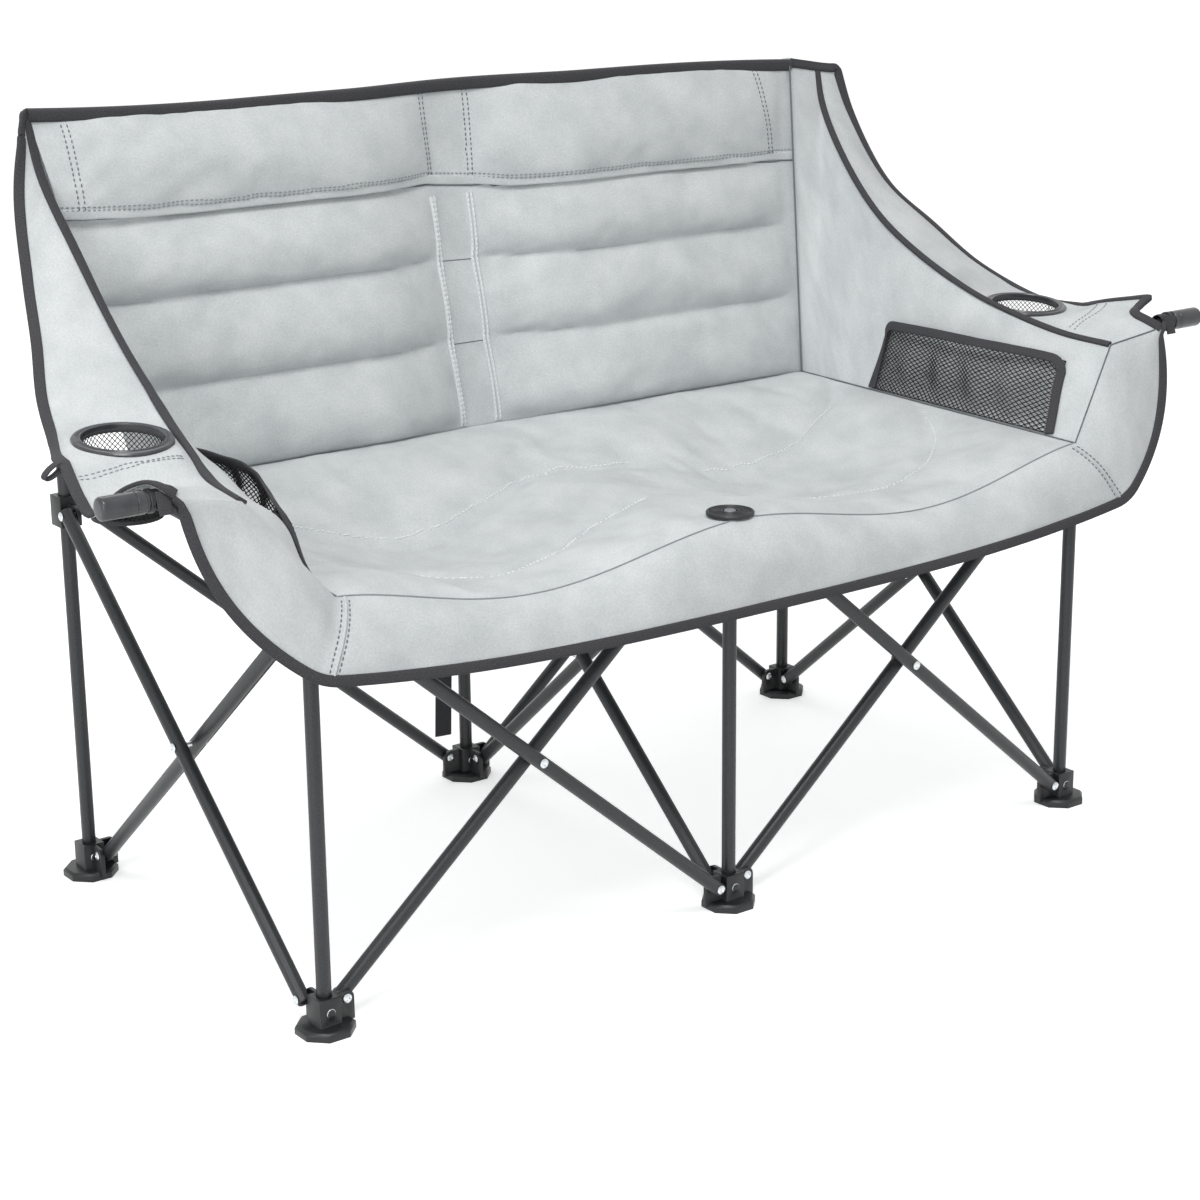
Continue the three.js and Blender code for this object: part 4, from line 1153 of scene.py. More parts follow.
def rounded_corner(station, height):
    """Moves a place near the outer top corner of a wing, so that the corner becomes round."""
    across = (2 - height) * CORNER_ROW_WIDTH / CORNER_ROUND
    down = station * CORNER_RUN / CORNER_ROUND
    if across >= 1 or down >= 1:
        return station, height
    a, b = 1 - across, 1 - down
    across = 1 - a * math.sqrt(1 - b * b / 2)
    down = 1 - b * math.sqrt(1 - a * a / 2)
    return down * CORNER_ROUND / CORNER_RUN, 2 - across * CORNER_ROUND / CORNER_ROW_WIDTH


def smooth_step(share):
    share = clamped(share)
    return share * share * (3 - 2 * share)


tip_edges = {side: [at(*spot) for spot in spots] for side, spots in TIP_EDGES.items()}


def arm_edge(side, station):
    """The free edge of the arm. At the tip it turns in at a corner, which frees the tube."""
    if station > TIP_START:
        return through(tip_edges[side], (station - TIP_START) / (1 - TIP_START))
    point = through(outer_edge, station)
    point.z += OUTER_TOP_RISE[side] * MM * faded(station, OUTER_RISE_RUN)
    near_tip = smooth_step((station - TIP_START + TIP_BLEND) / TIP_BLEND)
    return point + (tip_edges[side][0] - through(outer_edge, TIP_START)) * near_tip


def wall_roll(side, station, height):
    """How far the padding under the inner binding rolls inwards, which it does most on the left."""
    grown = smooth_step((station - ROLL_START) / ROLL_RISE) * smooth_step((1 - station) / ROLL_END)
    peaked = height ** (math.log(0.5) / math.log(ROLL_PEAK))
    return WALL_ROLL[side] * grown * math.sin(math.pi * peaked)


def inner_edge_point(side, station):
    """The inner edge of a wing, as on the right. On the left it lies further out near the back."""
    point = through(inner_edge, station)
    if side == "left":
        point.x += LEFT_EDGE_DRIFT * MM * max(0, 1 - station / LEFT_DRIFT_END)
    point.z += INNER_TOP_RISE[side] * MM * faded(station, INNER_RISE_RUN)
    return point


def wall_corner_shift(side, station, height):
    """Bends the wall's rear edge into the side of the back and a short edge along the binding."""
    fade = faded(station, WALL_CORNER_RUN)
    if fade == 0:
        return Vector()
    foot, corner, top = seat_edge[0], at(*WALL_CORNER[side]), inner_edge_point(side, 0)
    if height < WALL_CORNER_HEIGHT:
        bent = foot.lerp(corner, height / WALL_CORNER_HEIGHT)
    else:
        bent = corner.lerp(top, (height - WALL_CORNER_HEIGHT) / (1 - WALL_CORNER_HEIGHT))
    return (bent - foot.lerp(top, height)) * fade


def wing_point(side, station, height):
    """A point of a wing, as on the right. height is 0 at the seat, 1 at the inner binding and 2 at
    the outer one."""
    inner = inner_edge_point(side, station)
    if height <= 1:
        point = through(seat_edge, station).lerp(inner, height)
        swell = math.sin(math.pi * height) * math.sin(math.pi * station)
        inwards = wall_roll(side, station, height) - WING_BULGE * swell
        return point + wall_corner_shift(side, station, height) - Vector((inwards * MM, 0, 0))
    station, height = rounded_corner(station, height)
    inner = inner_edge_point(side, station)
    point = inner.lerp(arm_edge(side, station), height - 1)
    ends = min(1, station / CROWN_REAR, (1 - station) / CROWN_FRONT)
    fading = 1 - smooth_step((station - CROWN_END + CROWN_BLEND) / CROWN_BLEND)
    crown = ARM_CROWN * math.sin(math.pi * (height - 1)) * ends ** 0.5 * fading
    point.z += crown * MM
    behind_cup = point.y - front_row - CUP_DEPTH * MM
    from_cup = Vector((point.x - CUP_REACH[side] * MM, behind_cup)).length / MM
    level = smooth_step((CUP_LEVEL_FAR - from_cup) / (CUP_LEVEL_FAR - CUP_LEVEL_NEAR))
    edge_free = (smooth_step((height - 1) / CUP_FREE_INNER)
                 * smooth_step((2 - height) / CUP_FREE_OUTER))
    tilted = (CUP_TOP[side] - CUP_SEAT_BELOW_TOP) * MM + behind_cup * math.tan(CUP_TILT)
    point.z = lerp(point.z, tilted, level * edge_free)
    return point


def sided(side, point):
    return Vector((-point.x, point.y, point.z)) if side == "left" else point


RIPPLE, RIPPLE_SIZE = 4.0, 70 * MM
PUCKER, PUCKER_SIZE = 0.8, 26 * MM
RIPPLE_RIM, RIDGE_RIPPLE = 1 / 8, 0.02
RIPPLE_WAY = Vector((0.6, 0.2, 0.5))


def wing_place(side):
    """The place of each point of a wing's panel. Its ripples fade at the edges and at the ridge."""
    def place(share, up):
        height = up * 2.0
        point = sided(side, wing_point(side, share, height))
        calm = clamped(min(to_rim(share, up), abs(height - 1) + RIDGE_RIPPLE) / RIPPLE_RIM)
        ripple = (soft_noise(point, RIPPLE_SIZE, 9.0) * RIPPLE
                  + soft_noise(point, PUCKER_SIZE, 4.0) * PUCKER)
        return point + RIPPLE_WAY * ripple * MM * calm
    return place


# %% [markdown]
# Each wing rides on the rear post it hangs on. When the loveseat is folded, the cloth between the rows
# of posts crumples. The two helpers here only give a piece its own copy of its mesh.


def gather_middle(piece):
    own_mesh(piece)


def gather_back(piece):
    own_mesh(piece)


def surface_area(piece):
    return sum(polygon.area for polygon in piece.data.polygons)


# %% Sew the wings
CLOTH_THICKNESS = 2.6 * MM
RING_RADIUS, RING_SEAM, CUTTER_HEIGHT = 52 * MM, 2 * MM, 300 * MM


def cup_centre(side, height):
    return sided(side, at(CUP_REACH[side], CUP_DEPTH, height))


def cut_cup_hole(cloth, side):
    bpy.ops.mesh.primitive_cylinder_add(vertices=64, radius=RING_RADIUS - RING_SEAM,
                                        depth=CUTTER_HEIGHT,
                                        location=cup_centre(side, CUP_TOP[side]))
    cutter = bpy.context.active_object
    apply_modifier(cloth, "BOOLEAN", operation="DIFFERENCE", object=cutter, solver="EXACT")
    bpy.data.objects.remove(cutter)


wings, wing_areas, on_wing = {}, {}, {"left": [], "right": []}
for side in WAY:
    wing = panel(f"wing_{side}_cloth", WING_STATIONS, WING_ROWS, wing_place(side))
    face_towards(wing, (-WAY[side], 0, 0.4))
    area = surface_area(wing)
    apply_modifier(wing, "SOLIDIFY", thickness=CLOTH_THICKNESS, offset=-1)
    cut_cup_hole(wing, side)
    smooth(wing, 50)
    dress(wing, polyester, f"rear_{side}_post", [f"wing_{side}"])
    gather_back(wing)
    wings[side], wing_areas[side] = wing, area
    print("wing", side, "cloth", round(area, 3), "square metres")

# %% [markdown]
# The apron closes the front. It is one long strip that starts at one arm tip, goes down to the
# seat's corner, along the crease of the seat and up to the other tip. It rolls over the front of the
# seat, so its section is a soft curve and not a straight drop.

# %% The shape of the apron
APRON_COLUMNS, APRON_ROWS = 260, 26
APRON_ROLL, ROLL_LEAN, ROLL_LEAST, ROLL_LIFT = 13, 0.72, 0.25, 0.35
APRON_RIPPLE, APRON_RIPPLE_SIZE = 4.0, 80 * MM
CALM_END, CALM_EDGE = 1 / 10, 1 / 5
CORNER_PINCH, PINCH_REACH = 3.5, 0.05
GUSSET_SHARE = 4 / 28
HEM_HEIGHT, CORNER_HEIGHT, CORNER_HALF, HEM_LINE = 371, 401, 567, -70
GUSSET_EDGE = (649, -42, 484)
GUSSET_TIP = (677, -8, 589)
HEM_EASE = 0.01


def gusset(share):
    """The side of a place along the apron, and how far down the arm it is: 0 at the tip of the arm,
    1 at the corner of the seat, and more along the seat."""
    return "left" if share < 0.5 else "right", min(share, 1 - share) / GUSSET_SHARE


def apron_top(share):
    side, from_end = gusset(share)
    if from_end >= 1:
        return front_crease(clamped((share - GUSSET_SHARE) / (1 - 2 * GUSSET_SHARE)))
    return sided(side, wing_point(side, 1, 2 - 2 * from_end))


def cut_hem(share):
    side, from_end = gusset(share)
    if from_end >= 1:
        away = abs(2 * share - 1) / (1 - 2 * GUSSET_SHARE)
        height = lerp(HEM_HEIGHT, CORNER_HEIGHT, away ** 3)
        return at(WAY[side] * away * CORNER_HALF, HEM_LINE, height)
    tip = at(*GUSSET_TIP)
    corner = at(CORNER_HALF, HEM_LINE, CORNER_HEIGHT)
    control = at(*GUSSET_EDGE) * 2 - tip * 0.5 - corner * 0.5
    left = 1 - from_end
    point = tip * left ** 2 + control * 2 * left * from_end + corner * from_end ** 2
    return sided(side, point)


def apron_hem(share):
    """The hem, eased round its two corners by averaging it over a short way."""
    reach = min(HEM_EASE, share, 1 - share)
    spots = [cut_hem(share + reach * k / 4) for k in range(-4, 5)]
    return sum(spots, Vector()) / len(spots)


def apron_place(share, down):
    point = apron_top(share).lerp(apron_hem(share), down)
    side, from_end = gusset(share)
    roll = APRON_ROLL * min(1, max(ROLL_LEAST, from_end)) * math.sin(math.pi * down ** ROLL_LEAN)
    calm = min(1, min(share, 1 - share) / CALM_END, min(down, 1 - down) / CALM_EDGE)
    ripple = soft_noise(point, APRON_RIPPLE_SIZE, 6.0) * APRON_RIPPLE * calm
    at_corner = math.exp(-((from_end - 1) / PINCH_REACH) ** 2)
    pinch = CORNER_PINCH * at_corner * math.sin(math.pi * down)
    return point + Vector((0, pinch - roll - ripple, ROLL_LIFT * roll)) * MM


# %% Sew the apron
apron = panel("apron_cloth", APRON_COLUMNS, APRON_ROWS, apron_place)
face_towards(apron, (0, -1, 0))
apply_modifier(apron, "SOLIDIFY", thickness=CLOTH_THICKNESS, offset=-1)
smooth(apron, 50)
dress(apron, polyester, "seat_cover", ["apron"])

# %% [markdown]
# Tape is what finishes every free edge: a strip of woven binding, folded over the edge and sewn.
# The helper sweeps a flat, rounded section along a path. At each stop it needs the direction in which
# the tape is wide. The section's own way round and the path's length make the UV map, so the ribs of
# the weave always run across.

# %% A tape along a path
SECTION_POINTS = 14
SECTION_SQUARENESS = 0.55
TAPE_WELD = 0.01 * MM
RING_STEPS = 40


def squared(value):
    """A sine or cosine, pushed outwards so that a round section becomes a flat one."""
    return math.copysign(abs(value) ** SECTION_SQUARENESS, value)


def tape(name, path, wide, width, thickness, material):
    """wide is a list with one direction for each stop, or one direction for all."""
    directions = wide if isinstance(wide, list) else [Vector(wide)] * len(path)

    def place(around, along):
        k = round(along * (len(path) - 1))
        ahead = path[min(k + 1, len(path) - 1)] - path[max(k - 1, 0)]
        level = directions[k].normalized()
        thick = ahead.cross(level).normalized()
        level = thick.cross(ahead).normalized()
        angle = 2 * math.pi * around
        flat = squared(math.cos(angle)) * width / 2
        deep = squared(math.sin(angle)) * thickness / 2
        return path[k] + level * flat + thick * deep

    piece = panel(name, SECTION_POINTS, len(path) - 1, place)
    select_only(piece)
    bpy.ops.object.mode_set(mode="EDIT")
    bpy.ops.mesh.select_all(action="SELECT")
    bpy.ops.mesh.remove_doubles(threshold=TAPE_WELD)
    bpy.ops.mesh.fill_holes(sides=0)
    bpy.ops.mesh.select_all(action="SELECT")
    bpy.ops.mesh.normals_make_consistent(inside=False)
    bpy.ops.object.mode_set(mode="OBJECT")
    smooth(piece, 60)
    piece.data.materials.append(material)
    return piece


def shares(steps, start=0.0, end=1.0):
    return [lerp(start, end, k / steps) for k in range(steps + 1)]


def ring(centre, radius, first, second=UP):
    """A closed circle round centre, in the plane of two directions."""
    return [centre + (Vector(first) * math.cos(2 * math.pi * share)
                      + Vector(second) * math.sin(2 * math.pi * share)) * radius
            for share in shares(RING_STEPS)]


# %% [markdown]
# Bindings. The outer one folds over the free edge of each wing, from the back's corner round to the
# arm tip. The inner one covers the seam where the wall turns into the arm top. One runs along the
# top of the back, and the last follows the hem of the apron from tip to tip. A small loop of webbing
# hangs from each outer binding.

# %% Bind the edges
BINDING_WIDTH = 12 * MM
BINDING_THICKNESS = 5 * MM
INNER_WIDTH = {"left": 12 * MM, "right": 8 * MM}
OUTER_THICKNESS = {"left": 5 * MM, "right": 6.5 * MM}
TOP_BINDING_WIDTH, TOP_BINDING_THICKNESS = 15 * MM, 10 * MM
TOP_BINDING_SHIFT = Vector((0, -1, -6)) * MM
EDGE_REACH = 0.35
OUTER_START, INNER_START = 0.003, 0.004
INSIDE_STATION, INSIDE_HEIGHT = 0.03, 1.85
CORNER_END, CORNER_INSIDE = 0.05, 0.05
ARM_STATION, SLOPE_REACH = 0.6, 0.01
RIDGE_WALL, RIDGE_TOP = 0.9, 1.15
RIDGE_LIFT = 0.6 * MM
HEM_ENDS = 0.002
HEM_TIP = (683, -4, 592)
LOOP_FOOT = Vector((-3, 0, -1)) * MM
TIE_REACH, TIE_RISE, TIE_DROP = 21 * MM, 5 * MM, 0.55
TIE_WIDTH, TIE_THICKNESS = 11 * MM, 2.2 * MM


def edge_tape(name, edge_path, inward, thickness=BINDING_THICKNESS):
    """A binding folded over an edge: its middle lies a little inward of the edge."""
    wide = [step.normalized() for step in inward]
    path = [point + way * (BINDING_WIDTH * EDGE_REACH) for point, way in zip(edge_path, wide)]
    return tape(name, path, wide, BINDING_WIDTH, thickness, webbing)


def outer_inward(side, station, height):
    """The way into the cloth from the free edge of a wing: across it on the arm, and at the corner
    towards a place a little further in."""
    at_corner = height < 2 or station < CORNER_END
    inside_station = max(station, INSIDE_STATION) if at_corner else station
    inside = wing_point(side, inside_station, min(height, INSIDE_HEIGHT))
    edge_point = wing_point(side, station, height)
    if station > ARM_STATION:
        behind = wing_point(side, station - SLOPE_REACH, 2)
        ahead = wing_point(side, min(1, station + SLOPE_REACH), 2)
        normal = (ahead - behind).cross(edge_point - inside)
        return (ahead - behind).cross(normal)
    if (inside - edge_point).length < 1 * MM:
        return wing_point(side, CORNER_INSIDE, height) - edge_point
    return inside - edge_point


def outer_binding(side):
    stops = [(0, height) for height in shares(22, WALL_CORNER_HEIGHT, 2)]
    stops += [(station, 2) for station in shares(140, OUTER_START, 1.0)]
    path = [sided(side, wing_point(side, *stop)) for stop in stops]
    inward = [sided(side, outer_inward(side, *stop)) for stop in stops]
    return edge_tape(f"outer_binding_{side}", path, inward, OUTER_THICKNESS[side])


def inner_binding(side):
    path, wide = [], []
    for station in shares(120, INNER_START, 1.0):
        ridge = wing_point(side, station, 1)
        wall = (wing_point(side, station, RIDGE_WALL) - ridge).normalized()
        top = (wing_point(side, station, RIDGE_TOP) - ridge).normalized()
        out = -(wall + top).normalized()
        path.append(sided(side, ridge + out * RIDGE_LIFT))
        wide.append(sided(side, (wall - top).normalized()))
    return tape(f"inner_binding_{side}", path, wide, INNER_WIDTH[side], BINDING_THICKNESS, webbing)


def tie_loop(side):
    """A small loop of webbing that hangs outwards from the outer binding of the arm."""
    foot = wing_point(side, TIP_START, 2) + LOOP_FOOT
    path = []
    for share in shares(24):
        angle = 2 * math.pi * share
        out = TIE_REACH * (1 - math.cos(angle)) / 2
        path.append(sided(side, foot + Vector((out, 0, TIE_RISE * math.sin(angle) - TIE_DROP * out))))
    return tape(f"tie_loop_{side}", path, (0, 1, 0), TIE_WIDTH, TIE_THICKNESS, webbing)


for side in WAY:
    for binding in (outer_binding(side), inner_binding(side), tie_loop(side)):
        dress(binding, webbing, f"rear_{side}_post")
        gather_back(binding)
        on_wing[side].append(binding)

top_path = [back_sheet(share, 1) + TOP_BINDING_SHIFT for share in shares(160)]
top_binding = tape("top_binding", top_path, (0, 0.15, -1), TOP_BINDING_WIDTH, TOP_BINDING_THICKNESS,
                   webbing)
dress(top_binding, webbing, "root")
gather_middle(top_binding)

hem_stops = shares(260, HEM_ENDS, 1 - HEM_ENDS)
hem_path = [apron_place(share, 1) for share in hem_stops]
hem_inward = [apron_place(share, 0.8) - apron_place(share, 1) for share in hem_stops]
hem_path = [sided("left", at(*HEM_TIP)), *hem_path, at(*HEM_TIP)]
hem = edge_tape("apron_binding", hem_path, [hem_inward[0], *hem_inward, hem_inward[-1]])
dress(hem, webbing, "seat_cover")
gather_middle(hem)
print("bindings sewn")

# %% [markdown]
# Stitches are modelled once, as one short thread seen from outside, and copied along each seam. Each
# copy is laid on the cloth by asking Blender for the closest point of the cloth's mesh. One stitch has
# few faces, because there are more than a thousand. A seam without stitches is a thin cord, and where
# that cord is dark it is painted shade in the seam.

# %% Rows of stitches
STITCH_PITCH = 6.0 * MM
STITCH_LENGTH = 4.2 * MM
STITCH_RADIUS = 0.8 * MM
STITCH_LIFT = 0.35


def spaced(path, pitch):
    """Points and directions at equal steps along a path."""
    stops, behind, goal = [], 0.0, pitch / 2
    for a, b in zip(path, path[1:]):
        length = (b - a).length
        while length > 0 and behind + length >= goal:
            stops.append((a.lerp(b, (goal - behind) / length), (b - a).normalized()))
            goal += pitch
        behind += length
    return stops


def on_cloth(cloth, point, lift=0.0):
    """The closest point of the cloth, lifted off it."""
    found, spot, normal, _ = cloth.closest_point_on_mesh(point)
    return spot + normal * lift if found else point


def sew(name, paths, cloth, material, body, radius=STITCH_RADIUS):
    bpy.ops.mesh.primitive_uv_sphere_add(segments=6, ring_count=4, radius=radius)
    thread = bpy.context.active_object
    thread.scale = (1, 1, STITCH_LENGTH / 2 / radius)
    settle(thread, "stitch")
    row = bmesh.new()
    for path in paths:
        for point, way in spaced(path, STITCH_PITCH):
            spot = on_cloth(cloth, point, radius * STITCH_LIFT)
            turn = way.to_track_quat("Z", "Y").to_matrix().to_4x4()
            first = len(row.verts)
            row.from_mesh(thread.data)
            row.verts.ensure_lookup_table()
            fresh = row.verts[first:]
            bmesh.ops.transform(row, matrix=Matrix.Translation(spot) @ turn, verts=fresh)
    row.to_mesh(thread.data)
    row.free()
    settle(thread, name)
    smooth(thread, 80)
    print(name, sum(len(spaced(path, STITCH_PITCH)) for path in paths), "stitches")
    return dress(thread, material, body)


def seam_cords(name, runs, material, body):
    """One piece with a cord along each run. A run is a path and the cord's radius."""
    piece = joined([swept_tube("cord", path, 2 * radius, sides=2) for path, radius in runs], name)
    smooth(piece, 80)
    return dress(piece, material, body)


# %% [markdown]
# The trim of the back. A fold of cloth with two rows of stitches closes the foot of the headrest,
# double rows run down both sides of it, and below it the strip is edged by raised double ribs. A dark
# cord under the fold, and dark cords across the strip at the two sewn lines, are painted shade in those
# seams.

# %% Trim the back
FINE_SHADE_LINE, CROSS_SHADE_LINE = 0.9 * MM, 0.6 * MM
RIB_RADIUS, RIB_STEP = 2.0 * MM, 5.5
RIB_EDGES = (1, 1 + RIB_STEP)
RIB_LOW, RIB_HIGH = SEAT_REAR_HEIGHT + 4, HEADREST_LINE - 14
STITCH_LOW, STITCH_HIGH = SEAT_REAR_HEIGHT + 6, HEADREST_LINE - 15
HEADREST_LOW, HEADREST_HIGH = HEADREST_LINE - 2, BACK_TOP_HEIGHT - 8
HEADREST_EDGES = (0, 6)
HEADREST_UPRIGHTS = [(-535, -527), (-528, -520), (443, 459), (450, 466)]
FOOT_ROWS = (10.5, 14)
FOLD_ABOVE, FOLD_WIDTH, FOLD_THICKNESS = 6, 11 * MM, 2.2 * MM
RAISED, BARELY_RAISED = 0.4 * MM, 0.3 * MM


def on_back(x, height, forward=6.0):
    """A point just in front of the sewn back, at x and height in millimetres."""
    up = clamped(back_up(height))
    return back_sheet(back_share(x, up), up) + Vector((0, -forward * MM, 0))


def laid(path, cloth, lift=0.0):
    """The path, moved to the closest points of the cloth."""
    return [on_cloth(cloth, point, lift) for point in path]


def back_level(level, above=0.0, start=-550, end=506):
    """A path across the back along one of its sewn lines, or at a height above it."""
    return [on_back(x, seam_height(level, x) + above) for x in shares(140, start, end)]


def back_upright(side, beyond, low, high):
    """A path beside the strip. side is -1 or 1, and beyond is its distance from the strip's edge."""
    return [on_back(strip_centre(height) + side * (strip_half(height) + beyond), height)
            for height in shares(50, low, high)]


def strip_uprights(edges, low, high):
    """Paths beside both edges of the strip, one for each distance from it."""
    return [back_upright(way, beyond, low, high) for way in (-1, 1) for beyond in edges]


headrest_fold = tape("headrest_fold", laid(back_level(HEADREST_LINE, FOLD_ABOVE), back, RAISED),
                     (0, 0, 1), FOLD_WIDTH, FOLD_THICKNESS, polyester)
dress(headrest_fold, polyester, "root")
# The dark cord along the foot of the headrest is painted shade under the fold.
headrest_line = laid(back_level(HEADREST_LINE), back, BARELY_RAISED)
headrest_shade_line = seam_cords("headrest_shade_line", [(headrest_line, FINE_SHADE_LINE)], dark_thread_and_seam_shade, "root")
rib_paths = [laid(path, back, RAISED) for path in strip_uprights(RIB_EDGES, RIB_LOW, RIB_HIGH)]
# The ribs' pale colour is partly a painted highlight on the raised cords.
ribs = seam_cords("strip_ribs", [(path, RIB_RADIUS) for path in rib_paths], pale_piping_and_highlight, "root")
# The dark cords across the strip at the two sewn lines are painted seam shade.
crossings = []
for level in (LOW_SEAM, HIGH_SEAM):
    middle, reach = strip_centre(level), strip_half(level)
    path = laid(back_level(level, 0, middle - reach, middle + reach), back)
    crossings.append((path, CROSS_SHADE_LINE))
strip_shade_lines = seam_cords("strip_shade_lines", crossings, dark_thread_and_seam_shade, "root")

# %% Sew the back
dark_rows = strip_uprights(HEADREST_EDGES, HEADREST_LOW, HEADREST_HIGH)
for top_x, foot_x in HEADREST_UPRIGHTS:
    dark_rows.append([on_back(lerp(top_x, foot_x, down), lerp(HEADREST_HIGH, HEADREST_LOW, down))
                      for down in shares(40)])
headrest_stitches = sew("headrest_stitches", dark_rows, back, dark_thread_and_seam_shade, "root")
foot_rows = [back_level(HEADREST_LINE, above) for above in FOOT_ROWS]
foot_stitches = sew("headrest_foot_stitches", foot_rows, back, soft_thread_and_crease_shade, "root")
pale_rows = strip_uprights(RIB_EDGES, STITCH_LOW, STITCH_HIGH)
strip_stitches = sew("strip_stitches", pale_rows, ribs, pale_thread, "root")
for piece in (back, headrest_fold, headrest_shade_line, ribs, strip_shade_lines, headrest_stitches,
              foot_stitches, strip_stitches):
    gather_middle(piece)
print("back trimmed")

# %% [markdown]
# Fine lines of painted shade follow the seams: a dark cord where each wing meets the back and the seat
# and down the end of the right arm, and a softer grey cord for the shadow along the two creases of the
# seat. Pale stitches follow the long lines of the seat, and double rows hold the corners of the apron
# and cross the arms.

# %% Painted crease shadows and stitches of the seat and apron
REAR_CREASE_RADIUS = 1.3 * MM
CREASE_LIFT = Vector((0, 0, 0.4)) * MM
REAR_CREASE_SHIFT = Vector((0, -1.5, 0.5)) * MM
REAR_CREASE_END = 0.003
SEAT_STITCH, SEAT_STITCH_HEIGHT = 1.15 * MM, 470
CORNER_ROW_DRIFTS, CORNER_ROW_RUN, CORNER_ROW_FORWARD = (0.003, 0.009), (0.03, 0.9), 2
CORNER_RIB_DRIFT, CORNER_RIB_RUN, CORNER_RIB_FORWARD = 0.006, (0.0, 0.93), 3
CORNER_RIB_RADIUS = 1.8 * MM
# The two crease cords are painted shadow: a soft grey line for the shade along the front crease and for
# the contact shadow where the seat meets the back.
front_crease_shade_path = [apron_place(share, 0.0) + CREASE_LIFT
              for share in shares(200, GUSSET_SHARE, 1 - GUSSET_SHARE)]
crease = seam_cords("front_crease_shadow", [(front_crease_shade_path, FINE_SHADE_LINE)], soft_thread_and_crease_shade, "seat_cover")
rear_crease_shade_path = [rear_seam(share) + REAR_CREASE_SHIFT
             for share in shares(160, REAR_CREASE_END, 1 - REAR_CREASE_END)]
rear_crease = seam_cords("rear_crease_shadow", [(rear_crease_shade_path, REAR_CREASE_RADIUS)], soft_thread_and_crease_shade, "root")
seat_rows = [[at(spot.x, spot.y, SEAT_STITCH_HEIGHT) for spot in line] for line in seat_lines]
seat_stitches = sew("seat_stitches", seat_rows, seat, pale_thread, "seat_cover", SEAT_STITCH)


def down_the_apron(way, drift, run, forward):
    """A path down the apron near the corner of the seat, in front of the cloth."""
    share = 0.5 + way * (0.5 - GUSSET_SHARE - drift)
    return [apron_place(share, down) - Vector((0, forward * MM, 0)) for down in shares(30, *run)]


corner_rows = [down_the_apron(way, drift, CORNER_ROW_RUN, CORNER_ROW_FORWARD)
               for way in (-1, 1) for drift in CORNER_ROW_DRIFTS]
corner_stitches = sew("corner_stitches", corner_rows, apron, dark_thread_and_seam_shade, "seat_cover")
corner_runs = []
for way in (-1, 1):
    path = down_the_apron(way, CORNER_RIB_DRIFT, CORNER_RIB_RUN, CORNER_RIB_FORWARD)
    corner_runs.append((laid(path, apron, BARELY_RAISED), CORNER_RIB_RADIUS))
corner_rib = seam_cords("corner_ribs", corner_runs, polyester, "seat_cover")
for piece in (seat, apron, crease, rear_crease, seat_stitches, corner_stitches, corner_rib):
    gather_middle(piece)
print("seat and apron sewn")

# %% Painted seam shade and stitches of the wings
UPRIGHT_SHADE_LINE = 1.2 * MM
UPRIGHT_SEAM_TOP = {"left": 0.75, "right": WALL_CORNER_HEIGHT}
UPRIGHT_SHIFT = Vector((-3, -4, 0)) * MM
FOOT_SHIFT = Vector((-1, 0, 1)) * MM
END_SHIFT = Vector((0, -1, 0)) * MM
END_SEAM_TOP = 1.9
ARM_ROW_ABOVE = Vector((0, 0, 12)) * MM
ARM_ROW_RUN = (0.08, 0.95)
ARM_ROW_ENDS = {"left": (0.804, 0.779), "right": (0.879, 0.767)}
ARM_ROW_STEP = {"left": 0.006, "right": 0.014}


# The dark cords down the wing's rear edge, along its foot and down the end of the right arm are painted
# shade in those seams.
def wing_seam_shade(side):
    upright_shade = [sided(side, wing_point(side, 0, height) + UPRIGHT_SHIFT)
                    for height in shares(40, 0.0, UPRIGHT_SEAM_TOP[side])]
    foot_shade = [sided(side, wing_point(side, station, 0) + FOOT_SHIFT) for station in shares(60)]
    runs = [(upright_shade, UPRIGHT_SHADE_LINE), (foot_shade, FINE_SHADE_LINE)]
    if side == "right":
        end_shade = [sided(side, wing_point(side, 1, height) + END_SHIFT)
                    for height in shares(60, 0.0, END_SEAM_TOP)]
        runs.append((end_shade, FINE_SHADE_LINE))
    return seam_cords(f"wing_seam_shade_{side}", runs, dark_thread_and_seam_shade, f"rear_{side}_post")


def arm_row(side, drift):
    """A path across the top of an arm, above the cloth."""
    return [sided(side, wing_point(side, lerp(*ARM_ROW_ENDS[side], out) + drift, 1 + out)
                  + ARM_ROW_ABOVE) for out in shares(16, *ARM_ROW_RUN)]


for side in WAY:
    post = f"rear_{side}_post"
    seam = wing_seam_shade(side)
    arm_rows = [arm_row(side, drift) for drift in (0, ARM_ROW_STEP[side])]
    arm_stitches = sew(f"arm_stitches_{side}", arm_rows, wings[side], soft_thread_and_crease_shade, post)
    for piece in (seam, arm_stitches):
        gather_back(piece)
        on_wing[side].append(piece)
print("seams sewn")

# %% [markdown]
# Net. A grid is laid on the pocket's surface, each of its squares is split into four triangles from
# its middle, and the old edges are dissolved, which leaves a net of diamonds. The Wireframe modifier
# turns every remaining edge into thread. The diamonds are 5 to 8 mm wide, and the thread is drawn
# thick enough to show: 2 mm in the pockets and 1.25 mm in the cup bags.

# %% A net of diamonds
POCKET_THREAD, CUP_THREAD = 2.0 * MM, 1.25 * MM


